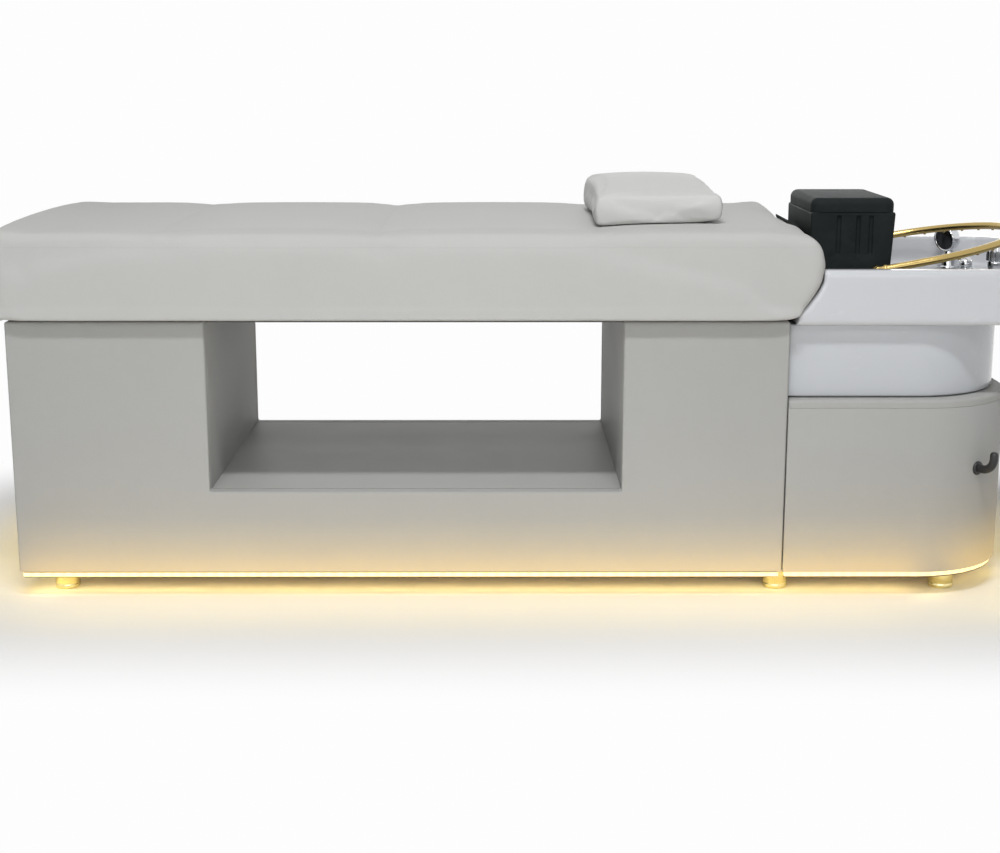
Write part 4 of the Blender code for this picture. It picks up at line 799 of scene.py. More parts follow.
def squared(mesh, soft):
    """Raise the long edges and the foot end of the mattress and hang its hem past the board."""
    lowest, highest = low("mattress"), high("mattress")
    side, foot, flap = high("back_panel").y, low("front_panel").x, high("neck_rest").y
    for vertex in mesh.vertices:
        place = vertex.co
        edge = (abs(place.y) / highest.y) ** 4
        ending = max(0.0, 1 - (place.x - lowest.x) / 0.12) ** 2
        upper = stepped(place.z, highest.z - 0.10, highest.z - 0.02)
        lower = 1 - stepped(place.z, lowest.z, lowest.z + 0.03)
        past = max(stepped(abs(place.y), side + 0.002, side + 0.008), stepped(foot - place.x, 0.002, 0.008))
        place.z += upper * (soft.edge_lift * edge + soft.foot_lift * ending * (1 - 0.75 * edge))
        place.z -= lower * soft.hem * past
        heading = stepped(place.x, highest.x - 0.100, highest.x - 0.020)
        sloping = heading * stepped(place.z, lowest.z + 0.09, lowest.z + 0.13)
        place.z += sloping * soft.far_lift * stepped(place.y, 0.12, 0.30)
        place.z -= sloping * soft.flap_press * (1 - stepped(abs(place.y), flap, flap + 0.04))
        place.z -= sloping * soft.near_drop * stepped(-place.y, 0.17, 0.26)
        place.x += soft.nose_reach * heading * (1 - stepped(place.z, lowest.z + 0.13, lowest.z + 0.17))
        flare = lower * soft.hem_reach * stepped(abs(place.y), side - 0.03, side)
        place.y = math.copysign(min(highest.y, abs(place.y) + flare), place.y)
    return mesh


def stitches(route, soft):
    """A row of short stitches along a route of points."""
    work = bmesh.new()
    pitch = soft.stitch + soft.stitch_gap
    carried = 0.0
    for start, end in zip(route, route[1:]):
        run = (end - start).length
        along = (end - start).normalized() if run else Vector((1, 0, 0))
        while carried < run:
            centre = start + along * carried
            turn = along.to_track_quat("Z", "Y").to_matrix().to_4x4()
            made = bmesh.ops.create_uvsphere(work, u_segments=6, v_segments=4, radius=1.0)["verts"]
            size = Matrix.Diagonal((soft.thread, soft.thread, soft.stitch / 2, 1.0))
            bmesh.ops.transform(work, matrix=Matrix.Translation(centre) @ turn @ size, verts=made)
            carried += pitch
        carried -= run
    return from_bmesh(work)


def mattress_channels(soft):
    cabinet = SEAM_X - low("front_panel").x
    return [SEAM_X - cabinet * part for part in soft.channel_shares]


class SPABED_OT_mattress(Operator):
    """Make the swollen mattress with its sewn channels"""
    bl_idname = "spabed.mattress"
    bl_label = "Mattress"

    def execute(self, context):
        soft = context.scene.spa_bed.soft
        bottom, top = low("mattress").z, high("mattress").z
        channels = mattress_channels(soft)

        def held(place, normal):
            flat = max(0.0, 1 - (place.z - bottom) / 0.024)
            sewn = 0.0
            if normal.z > 0.4:
                nearest = min(abs(place.x - channel) for channel in channels)
                sewn = max(0.0, 1 - nearest / 0.016)
            return min(1.0, max(flat, sewn))

        mesh = fine_mesh("mattress", soft.mattress_mesh, 4)
        mesh = swell(mesh, soft, soft.mattress_swell, held, soft.mattress_swell * 0.9)
        mesh = settle(finer(averaged(part(mesh), 1)))
        mesh = squared(fitted(mesh, low("mattress"), high("mattress")), soft)
        half = high("mattress").y
        for vertex in mesh.vertices:
            upper = max(0.0, (vertex.co.z - top + 0.06) / 0.06)
            if upper <= 0:
                continue
            for index, channel in enumerate(channels):
                sag = soft.channel_depth * soft.channel_sags[index]
                away = (vertex.co.x - channel) / soft.channel_width
                ripple = 1 + 0.18 * math.sin(vertex.co.y * 2 * math.pi / 0.085 + index * 1.7)
                ripple *= 1 + 0.08 * math.sin(vertex.co.y * 2 * math.pi / 0.031)
                edge = 1 - 0.5 * (vertex.co.y / half) ** 8
                narrow = math.exp(-(away * 3.2) ** 2)
                wide = math.exp(-away ** 2)
                vertex.co.z -= sag * upper * edge * (0.6 * wide + 0.4 * narrow * ripple)
        cover = piece("mattress_cover", mesh, "mattress_cover", "bed", "leatherette", "mattress", angle=180)

        bpy.context.view_layer.update()
        tree = BVHTree.FromPolygons([vertex.co for vertex in mesh.vertices],
                                    [tuple(face.vertices) for face in mesh.polygons])
        rows = []
        for channel in channels:
            route = []
            steps = 60
            for step in range(steps + 1):
                y = -half + 0.05 + (2 * half - 0.1) * step / steps
                hit = tree.ray_cast(Vector((channel, y, top + OVERRUN)), Vector((0, 0, -1)))[0]
                if hit:
                    route.append(hit)
            rows.append(stitches(route, soft))
        piece("mattress_stitching", together(*rows), "thread", "bed", "leatherette")
        return {"FINISHED"}


class SPABED_OT_pillow(Operator):
    """Make the swollen pillow that lies across the mattress"""
    bl_idname = "spabed.pillow"
    bl_label = "Pillow"

    def execute(self, context):
        soft = context.scene.spa_bed.soft
        bottom = low("pillow").z

        def held(place, normal):
            return min(1.0, max(0.0, 1 - (place.z - bottom) / 0.010))

        mesh = fine_mesh("pillow", soft.pillow_mesh, 4)
        mesh = swell(mesh, soft, soft.pillow_swell, held, soft.pillow_swell * 0.9)
        mesh = fitted(settle(finer(averaged(part(mesh), 1))), low("pillow") - Vector((0.009, 0.008, 0.0)),
                      high("pillow") + Vector((0.0, 0.003, -0.003)))
        centre, tall, front = middle("pillow"), high("pillow").z - bottom, low("pillow").y
        for vertex in mesh.vertices:
            upper = stepped(vertex.co.z, bottom + 0.2 * tall, bottom + 0.9 * tall)
            near = stepped(centre.y - vertex.co.y, -0.02, centre.y - front)
            vertex.co.z -= (soft.pillow_slope * (vertex.co.x - centre.x) + soft.pillow_drop * near) * upper
        cover = piece("pillow_cover", mesh, "pillow_cover", "head_pillow", "leatherette", "pillow",
                      angle=180)
        return {"FINISHED"}


def panel_outline(node):
    """The outline of a long cabinet panel with its niche."""
    start, end = low(node), high(node)
    niche_start, niche_end = low("niche_floor").x, high("niche_floor").x
    sill = high("niche_floor").z
    return [(start.x, start.z), (end.x, start.z), (end.x, end.z), (niche_end, end.z), (niche_end, sill),
            (niche_start, sill), (niche_start, end.z), (start.x, end.z)]


class SPABED_OT_cabinet(Operator):
    """Upholster the main cabinet"""
    bl_idname = "spabed.cabinet"
    bl_label = "Main cabinet"

    def execute(self, context):
        for node, name in (("front_panel", "front_upholstery"), ("back_panel", "back_upholstery")):
            shape = plate(panel_outline(node), low(node).y, high(node).y, "XZ", 0.005, 5)
            piece(name, settle(shape), "cabinet_hide", "bed", "cabinet_hide", node)
        for node in ("foot_end_panel", "head_end_panel", "niche_floor", "niche_foot_wall",
                     "niche_head_wall"):
            dress(node, "cabinet_hide")
        for node in ("base_board", "foot_batten", "rear_base"):
            dress(node, "plywood")
        # The board under the mattress is dressed near black as painted shade for the shadow line between
        # mattress and cabinet.
        dress("mattress_board", "lining")
        return {"FINISHED"}


def rear_plan(start, end, half, radius):
    """The plan of a rear piece: square at the seam and round at the head end."""
    return rounded(rectangle((start, -half), (end, half)), [0, radius, radius, 0], 28)


class SPABED_OT_rear_cabinet(Operator):
    """Upholster the rear cabinet, its top board and its hatch"""
    bl_idname = "spabed.rear_cabinet"
    bl_label = "Rear cabinet"

    def execute(self, context):
        soft = context.scene.spa_bed.soft
        corner, wall = soft.rear_corner, soft.rear_wall
        start, end = low("rear_shell"), high("rear_shell")
        outer = plate(rear_plan(start.x, end.x, end.y, corner), start.z, end.z, "XY", 0.0012, 2)
        inner = plate(rear_plan(start.x - OVERRUN, end.x - wall, end.y - wall, corner - wall),
                      start.z - OVERRUN, end.z + OVERRUN)
        hatch_low, hatch_high = low("service_hatch"), high("service_hatch")
        gap = Vector((2 * wall, 0.002, 0.002))
        opening = block(hatch_low - gap, hatch_high + gap)
        windows = []
        for node, side, rise in (("power_inlet", 0.009, 0.004), ("switch_bezel", 0.001, 0.0015)):
            inset = Vector((side, -OVERRUN, rise))
            windows.append(block(low(node) + inset, high(node) - inset))
        shell = boolean(outer, "DIFFERENCE", inner, opening, *windows)
        piece("rear_upholstery", settle(shell), "cabinet_hide", "bed", "cabinet_hide", "rear_shell")

        board_low, board_high = low("rear_top"), high("rear_top")
        board = capped(rear_plan(board_low.x, board_high.x, board_high.y, corner), board_low.z, board_high.z,
                       (board_high.z - board_low.z) * 0.4, 8)
        piece("rear_board", settle(board), "cabinet_hide", "bed", "cabinet_hide", "rear_top")
        shape = block(hatch_low, hatch_high, 0.0025, 4)
        piece("hatch_panel", settle(shape), "cabinet_hide", "hatch", "cabinet_hide", "service_hatch")
        return {"FINISHED"}


def rake_outline():
    """The raked foot end of the basin, read from the frame's own solid."""
    half = high("basin").y
    reach = low("basin").x + 0.08
    points = {(round(vertex.co.z, 4), round(vertex.co.x, 4)) for vertex in NODES["basin"].data.vertices
              if abs(vertex.co.y + half) < FINE and vertex.co.x < reach}
    return [(x, z) for z, x in sorted(points)]


class SPABED_OT_basin(Operator):
    """Mould the glossy basin and the tub under its rim"""
    bl_idname = "spabed.basin"
    bl_label = "Basin"

    def execute(self, context):
        sizes = context.scene.spa_bed.basin
        lowest, highest = low("basin"), high("basin")
        start, end, half, top = lowest.x, highest.x, highest.y, highest.z
        underside = high("tub").z + FINE
        floor = lowest.z + sizes.bowl_wall
        bowl_start = SEAM_X + sizes.bowl_start
        bowl_end = bowl_start + sizes.bowl_length
        nose = SEAM_X + sizes.nose
        inner = half - sizes.rim
        deck_start = bowl_start + 2 * sizes.edge
        ledge_top = top - sizes.ledge_depth

        band = plate(rear_plan(start, end, half, sizes.corner), underside, top, "XY", sizes.edge, 6)
        wall = sizes.bowl_wall
        under = block((bowl_start - wall, -sizes.bowl_half - wall, lowest.z),
                      (bowl_end + wall, sizes.bowl_half + wall, ledge_top), sizes.bowl_round, 10)
        body = boolean(band, "UNION", under)

        rake = rake_outline()
        outline = [(start - OVERRUN, rake[0][1] - OVERRUN), (start, rake[0][1] - OVERRUN)] + rake
        outline += [(rake[-1][0], top + OVERRUN), (start - OVERRUN, top + OVERRUN)]
        wedge = plate(outline, -half - OVERRUN, half + OVERRUN, "XZ")
        bowl = block((bowl_start, -sizes.bowl_half, floor),
                     (bowl_end, sizes.bowl_half, top + sizes.deck_depth), sizes.bowl_round, 10)
        round_corner = sizes.corner - sizes.rim
        corners = rectangle((deck_start, -inner), (end - sizes.rim, inner))
        deck = plate(rounded(corners, [sizes.rim / 2, round_corner, round_corner, sizes.rim / 2], 20),
                     top - sizes.deck_depth, top + sizes.rim, "XY", sizes.edge, 6)
        ledge = block((nose - OVERRUN, -inner, ledge_top), (deck_start + OVERRUN, inner, top + OVERRUN))
        drain = middle("drain_flange")
        bore = 0.0193
        hole = lathe([(0, -OVERRUN), (bore, -OVERRUN), (bore, OVERRUN), (0, OVERRUN)],
                     (drain.x, drain.y, lowest.z), steps=32)
        body = boolean(body, "DIFFERENCE", wedge, deck, bowl, ledge, hole)
        piece("basin_moulding", moulded(body, sizes.mesh, 5), "basin_glaze", "bed", "white_glaze", "basin",
              angle=180)

        lowest, highest = low("tub"), high("tub")
        corner = context.scene.spa_bed.soft.rear_corner
        lip = lowest.z + 0.0023
        margin, inset = 0.030, 0.012

        def inward(inset, start, end, *edge):
            plan = rear_plan(lowest.x + inset, highest.x - inset, highest.y - inset, corner - inset)
            return plate(plan, start, end, "XY", *edge)

        def well():
            return block((bowl_start + margin, margin - sizes.bowl_half, lowest.z - OVERRUN),
                         (bowl_end - margin, sizes.bowl_half - margin, lip + 2 * wall), 0.012, 5)

        outer = plate(rear_plan(lowest.x, highest.x, highest.y, corner), lip, highest.z, "XY", 0.004, 5)
        shell = boolean(outer, "DIFFERENCE", inward(wall, lip + wall, highest.z + OVERRUN), well())
        plinth = boolean(inward(inset, lowest.z, lip + FINE), "DIFFERENCE", well())
        piece("tub_moulding", together(shell, plinth), "tub_shell", "bed", "white_shell", "tub")
        return {"FINISHED"}


def cut_across(work, at, side):
    """Cut off what lies past a plane across x, close the cut and list its points."""
    parts = work.verts[:] + work.edges[:] + work.faces[:]
    found = bmesh.ops.bisect_plane(
        work, geom=parts, plane_co=(at, 0.0, 0.0), plane_no=(side, 0.0, 0.0), clear_outer=True)["geom_cut"]
    bmesh.ops.holes_fill(work, edges=[item for item in found if isinstance(item, bmesh.types.BMEdge)])
    return [item for item in found if isinstance(item, bmesh.types.BMVert)]


def neck_flap(start, trim):
    """The flap that lies on the mattress, taken from the frame's own solid and run into the block."""
    work = bmesh.new()
    work.from_mesh(NODES["neck_rest"].data)
    bmesh.ops.remove_doubles(work, verts=work.verts, dist=CAD_WELD)
    root = cut_across(work, start - FINE, 1.0)
    bmesh.ops.translate(work, vec=(0.003, 0.0, -0.001), verts=root)
    tip = min(vertex.co.x for vertex in work.verts)
    cut_across(work, tip + trim, -1.0)
    return from_bmesh(work)


class SPABED_OT_neck_rest(Operator):
    """Mould the neck rest with its grooves, its flap and its padded lid"""
    bl_idname = "spabed.neck_rest"
    bl_label = "Neck rest"

    taper: length("Taper", "Draw-in of the block's head end at its foot", 0.010)
    flap_trim: length("Flap trim", "How much shorter the flap is than its cushion", 0.008)
    edge: length("Edge", "Rounding of the block's edges", 0.005)
    lid_edge: length("Lid edge", "Rounding of the lid's upper edges", 0.015)

    def execute(self, context):
        sizes, basin = context.scene.spa_bed.fittings, context.scene.spa_bed.basin
        lid_low, lid_high = low("neck_rest_lid"), high("neck_rest_lid")
        start, end = lid_low.x - 0.001, lid_high.x + 0.004
        half = high("neck_rest").y
        bottom, top = low("neck_rest").z, lid_low.z - FINE
        ledge = high("basin").z - basin.ledge_depth + FINE
        bowl_side = SEAM_X + basin.bowl_start + 0.003
        outline = [(start, ledge), (bowl_side, ledge), (bowl_side, bottom), (end - self.taper, bottom),
                   (end, top), (start, top)]
        form = plate(outline, -half, half, "XZ", self.edge, 6)
        grooves = []
        for side in (-1, 1):
            for at in (0.33, 0.56, 0.71):
                x = start + (end - start) * at
                radius = sizes.groove
                grooves.append(block((x - radius, side * half - radius, ledge + 0.034),
                                     (x + radius, side * half + radius, top - 0.006), radius * 0.9, 5))
            grooves.append(block((start + 0.012, side * half - 0.0012, top - 0.0045),
                                 (end - 0.012, side * half + 0.0012, top - 0.0025), 0.0005, 2))
        form = boolean(form, "DIFFERENCE", *grooves)
        soften(form, 0.0007, 2, 35.0)
        mesh = together(form, neck_flap(start, self.flap_trim))
        piece("neck_rest_block", mesh, "rubber", "neck_support", "black_rubber", "neck_rest", angle=32)

        corners = rectangle((lid_low.x, lid_low.y), (lid_high.x + 0.003, lid_high.y))
        pad = capped(rounded(corners, sizes.neck_corner, 10), lid_low.z, lid_high.z, self.lid_edge, 9)
        piece("neck_rest_pad", settle(pad), "rubber", "neck_support", "black_rubber", "neck_rest_lid",
              angle=50)
        return {"FINISHED"}


class SPABED_OT_water_arch(Operator):
    """Bend the water arch and set its nozzles, eyes and brackets"""
    bl_idname = "spabed.water_arch"
    bl_label = "Water arch"

    pin: length("Pin", "Radius of the pins that the arch turns on", 0.005)
    pin_length: length("Pin length", "Length of the pins", 0.012)
    cheek: length("Cheek", "Thickness of the brackets", 0.014)
    base: length("Base", "Radius of the brackets' feet", 0.022)

    def execute(self, context):
        sizes = context.scene.spa_bed.fittings
        radius, half = sizes.arch_pipe, sizes.arch_half
        eye, eye_half = radius * 1.35, radius * 1.25
        bracket = high("arch_bracket_left")
        pivot = Vector((middle("arch_bracket_left").x, 0.0, bracket.z - eye))
        along = Vector((math.cos(sizes.arch_tilt), 0.0, math.sin(sizes.arch_tilt)))
        down = Vector((along.z, 0.0, -along.x))
        across = Vector((0.0, 1.0, 0.0))

        def bend(turn):
            reach = sizes.arch_leg + half * math.sin(turn)
            return pivot + along * reach - across * (half * math.cos(turn))

        legs = [along * sizes.arch_leg * part for part in (0.0, 0.3, 0.6, 0.9)]
        points = [pivot + leg - across * half for leg in legs]
        steps = 110
        points += [bend(math.pi * step / steps) for step in range(steps + 1)]
        points += [pivot + leg + across * half for leg in reversed(legs)]
        shapes = [tube(points, radius)]
        for index in range(sizes.nozzles):
            place = bend(math.pi * (0.08 + 0.84 * index / (sizes.nozzles - 1)))
            nozzle = [(0.0, 0.0), (0.0030, 0.0), (0.0030, 0.0012), (0.0022, 0.0024), (0.0012, 0.0026),
                      (0.0010, 0.0012), (0.0, 0.0012)]
            shapes.append(lathe(nozzle, place + down * (radius - FINE), down, 20))
        for side in (-1, 1):
            seat = pivot + across * side * half
            end = eye_half + self.pin_length
            profile = [(0.0, -eye_half), (eye - 0.0022, -eye_half), (eye - 0.0007, 0.0007 - eye_half),
                       (eye, 0.0022 - eye_half), (eye, eye_half - 0.0022), (eye - 0.0007, eye_half - 0.0007),
                       (eye - 0.0022, eye_half), (self.pin, eye_half), (self.pin, end), (0.0, end)]
            shapes.append(lathe(profile, seat, (0.0, side, 0.0), 40))
            ring = [(radius - 0.001, -0.0030), (radius + 0.0010, -0.0030), (radius + 0.0018, -0.0018),
                    (radius + 0.0018, 0.0018), (radius + 0.0010, 0.0030), (radius - 0.001, 0.0030)]
            shapes.append(lathe(ring, seat + along * 0.017, along, 40))
        piece("water_arch_pipe", together(*shapes), "gold", "arch", "gold", "water_arch", angle=45)

        for name, side in (("left", -1), ("right", 1)):
            node = "arch_bracket_" + name
            base = low(node).z
            inner = half + eye_half + FINE
            start, end = sorted((side * inner, side * (inner + self.cheek)))
            corners = [(pivot.x - eye, base), (pivot.x + eye, base), (pivot.x + eye, pivot.z + eye),
                       (pivot.x - eye, pivot.z + eye)]
            cheek = plate(rounded(corners, [0, 0, eye * 0.98, eye * 0.98], 16), start, end, "XZ", 0.0014, 3)
            bore = lathe([(0.0, -self.cheek), (self.pin + FINE, -self.cheek), (self.pin + FINE, self.cheek),
                          (0.0, self.cheek)], (pivot.x, (start + end) / 2, pivot.z), (0.0, 1.0, 0.0), 32)
            cheek = boolean(cheek, "DIFFERENCE", bore)
            seat = Vector((pivot.x, (start + end) / 2, base))
            foot = lathe([(0.0, 0.0), (self.base, 0.0), (self.base, 0.0022), (self.base - 0.0006, 0.0034),
                          (self.base - 0.0020, 0.0040), (0.0, 0.0040)], seat, steps=56)
            screws = []
            screw = [(0.0, 0.0), (0.0034, 0.0), (0.0030, 0.0010), (0.0016, 0.0016), (0.0, 0.0017)]
            for turn in (-1, 1):
                place = seat + Vector((turn * (eye + 0.0052), 0.0, 0.0038))
                screws.append(lathe(screw, place, steps=24))
            piece("arch_cheek_" + name, together(cheek, foot, *screws), "gold", "bed", "gold", node)
        return {"FINISHED"}


def arc(radius, start, end, steps=12, lift=0.0):
    """Points of a ball's outline as (radius, height), between two angles over its middle."""
    turns = [start + (end - start) * step / steps for step in range(steps + 1)]
    return [(max(0.0, radius * math.cos(turn)), lift + radius * math.sin(turn)) for turn in turns]


class SPABED_OT_shower(Operator):
    """Shape the hand shower, its dark face and its socket"""
    bl_idname = "spabed.shower"
    bl_label = "Hand shower"

    lift: length("Lift", "Height of the head over the deck", 0.070)
    head: length("Head", "Radius of the head", 0.031)

    def execute(self, context):
        face = Vector((-0.80, -0.55, -0.18)).normalized()
        socket = low("shower_socket")
        base = Vector((*middle("shower_socket").xy, socket.z))
        stand = high("shower_socket").z - socket.z
        body = [(0.0115, stand), (0.0160, stand), (0.0172, stand - 0.0006), (0.0175, stand - 0.0016),
                (0.0175, 0.0062), (0.0182, 0.0046), (0.0222, 0.0040), (0.0229, 0.0032), (0.0230, 0.0),
                (0.0115, 0.0)]
        mesh = settle(lathe(body, base, steps=56))
        piece("shower_stand", mesh, "chrome", "bed", "chrome", "shower_socket")

        deck = socket.z - FINE
        centre = Vector((base.x, base.y, deck + self.lift)) + face * 0.010
        foot = Vector((base.x, base.y, high("shower_socket").z))
        top = centre.z - 0.010 * face.z - foot.z
        plug = -0.0185
        grip = [(0.0, top), (0.0088, top), (0.0094, top * 0.8), (0.0094, top * 0.62), (0.0104, top * 0.40),
                (0.0122, top * 0.22), (0.0125, top * 0.10), (0.0118, 0.0010), (0.0100, FINE),
                (0.0100, plug), (0.0, plug)]
        handle = lathe(grip, foot, steps=48)
        size = self.head
        back = [(0.0, -size * 0.52)] + arc(size, -0.50 * math.pi, -0.02, 16)[4:]
        back = [(reach, max(height, -size * 0.52)) for reach, height in back]
        rim = [(size * 0.995, size * 0.10), (size * 0.955, size * 0.22), (size * 0.90, size * 0.28),
               (size * 0.84, size * 0.27), (size * 0.80, size * 0.21), (0.0, size * 0.21)]
        bell = lathe(back + rim, centre, face, 64)
        piece("shower_handset", together(handle, bell), "chrome", "handset", "chrome", "hand_shower",
              angle=50)

        disc = [(0.0, size * 0.215), (size * 0.79, size * 0.215), (size * 0.79, size * 0.235),
                (size * 0.74, size * 0.25), (size * 0.30, size * 0.27), (0.0, size * 0.275)]
        shapes = [lathe(disc, centre, face, 56)]
        turn = face.to_track_quat("Z", "Y").to_matrix()
        for ring, number in ((0.24, 6), (0.45, 12), (0.65, 18)):
            for index in range(number):
                angle = 2 * math.pi * index / number
                spot = Vector((math.cos(angle), math.sin(angle), 0.0)) * size * ring
                spot.z = size * (0.275 - 0.03 * ring)
                stub = [(0.0, -0.0006), (0.0010, -0.0006), (0.0009, 0.0007), (0.0005, 0.0010), (0.0, 0.0010)]
                shapes.append(lathe(stub, centre + turn @ spot, face, 10))
        piece("shower_face", together(*shapes), "dark_chrome", "handset", "chrome", angle=40)
        return {"FINISHED"}


class SPABED_OT_taps(Operator):
    """Turn the mixer, its lever, the tall valve and the drain's flange"""
    bl_idname = "spabed.taps"
    bl_label = "Taps"

    def execute(self, context):
        place = low("mixer_body")
        base = Vector((*middle("mixer_body").xy, place.z))
        tall = high("mixer_body").z - place.z
        flange = [(0.0230, 0.0), (0.0230, 0.0030), (0.0222, 0.0040), (0.0192, 0.0046), (0.0185, 0.0060)]
        body = [(0.0, 0.0)] + flange + [(0.0185, tall - 0.0018), (0.0180, tall - 0.0006)]
        body += [(0.0168, tall), (0.0, tall)]
        piece("mixer_base", settle(lathe(body, base, steps=56)), "chrome", "bed", "chrome", "mixer_body")

        seat = Vector((base.x, base.y, low("mixer_turret").z))
        ball, lift = 0.0140, 0.0077
        collar = [(0.0, 0.0), (0.0166, 0.0), (0.0166, 0.0016), (0.0158, 0.00225)]
        swivel = lathe(collar + arc(ball, -0.35, math.pi / 2, 20, lift), seat, steps=56)
        piece("mixer_swivel", settle(swivel), "chrome", "turret", "chrome", "mixer_turret")

        centre = seat + Vector((0.0, 0.0, lift))
        shell = 0.0028
        inside, outside = ball + FINE, ball + FINE + shell
        rim = math.radians(24.0)
        dome = arc(outside, rim + 0.04, math.pi / 2, 20) + arc(inside, math.pi / 2, rim + 0.04, 20)
        cap = lathe(dome, centre, steps=56)
        root = math.radians(32.0)
        reach = (inside + shell * 0.7) * math.cos(root)
        rise = (inside + shell * 0.7) * math.sin(root)
        course = [(reach, 1.0), (reach + 0.007, 1.0), (0.0322, 1.05), (0.0400, 1.16), (0.0446, 1.26),
                  (0.0458, 1.29)]
        arm = [centre + Vector((0.0, -out, rise * part)) for out, part in course]
        lever = tube(arm, 0.0034, [1.0, 0.94, 0.95, 1.06, 0.85, 0.4])
        piece("mixer_handle", together(cap, lever), "chrome", "lever", "chrome", "mixer_lever", angle=50)

        place = low("valve_body")
        base = Vector((*middle("valve_body").xy, place.z))
        tall = high("valve_body").z - place.z
        shoulder, steps = 0.0150, 16
        body = [(0.0, 0.0), (0.0230, 0.0), (0.0230, 0.0030), (0.0222, 0.0040), (0.0184, 0.0072)]
        for step in range(1, steps):
            reach = 0.0180 - 0.0052 * math.sin(math.pi * step / steps) ** 0.8
            reach = min(reach, shoulder) if step > steps // 2 else reach
            body.append((reach, 0.0085 + (tall - 0.012) * step / steps))
        body += [(shoulder, tall - 0.0016), (0.0140, tall), (0.0, tall)]
        stem = settle(lathe(body, base, steps=56))
        piece("valve_stem", stem, "chrome", "bed", "chrome", "valve_body", angle=50)

        start, end = low("valve_knob").z, high("valve_knob").z
        outline = []
        points, flutes = 160, 10
        for step in range(points):
            turn = 2 * math.pi * step / points
            reach = 0.0180 - 0.0020 * max(0.0, math.cos(turn * flutes)) ** 3
            outline.append((base.x + reach * math.cos(turn), base.y + reach * math.sin(turn)))
        grip = plate(outline, start, end, "XY", 0.0022, 4)
        dish = [(0.0, -0.0012), (0.0110, -0.0012), (0.0122, 0.0010), (0.0, 0.0010)]
        grip = boolean(grip, "DIFFERENCE", lathe(dish, (base.x, base.y, end), steps=48))
        piece("valve_handle", settle(grip), "chrome", "knob", "chrome", "valve_knob", angle=38)

        drain = low("drain_flange")
        top = high("drain_flange").z
        centre = Vector((*middle("drain_flange").xy, top))
        tail = drain.z - top
        flange = [(0.0145, tail), (0.0145, -0.0010), (0.0155, 0.0), (0.0270, 0.0), (0.0288, -0.0006),
                  (0.0299, -0.0022), (0.0300, -0.0030), (0.0190, -0.0030), (0.0190, tail)]
        ring = settle(lathe(flange, centre, steps=64))
        piece("drain_ring", ring, "chrome", "bed", "chrome", "drain_flange")
        dress("drain_strainer", "steel")
        dress("hatch_knob", "chrome")
        return {"FINISHED"}


def area_lamp(name, place, aim, size, power, tint=(1.0, 1.0, 1.0), spread=180.0, along=(1.0, 0.0, 0.0)):
    """A square lamp that faces a place, with its first side along a direction."""
    lamp = bpy.data.lights.new(name, "AREA")
    lamp.shape = "RECTANGLE"
    lamp.spread = math.radians(spread)
    lamp.size, lamp.size_y = size
    lamp.energy = power
    lamp.color = tint
    made = bpy.data.objects.new(name, lamp)
    back = (Vector(place) - Vector(aim)).normalized()
    across = Vector(along) - back * back.dot(Vector(along))
    across.normalize()
    turn = Matrix((across, back.cross(across), back)).transposed().to_4x4()
    made.matrix_world = Matrix.Translation(Vector(place)) @ turn
    bpy.context.scene.collection.objects.link(made)
    return made


def unseen(lamp):
    """Hide a lamp itself, and leave its light."""
    lamp.visible_camera = False
    lamp.visible_glossy = False


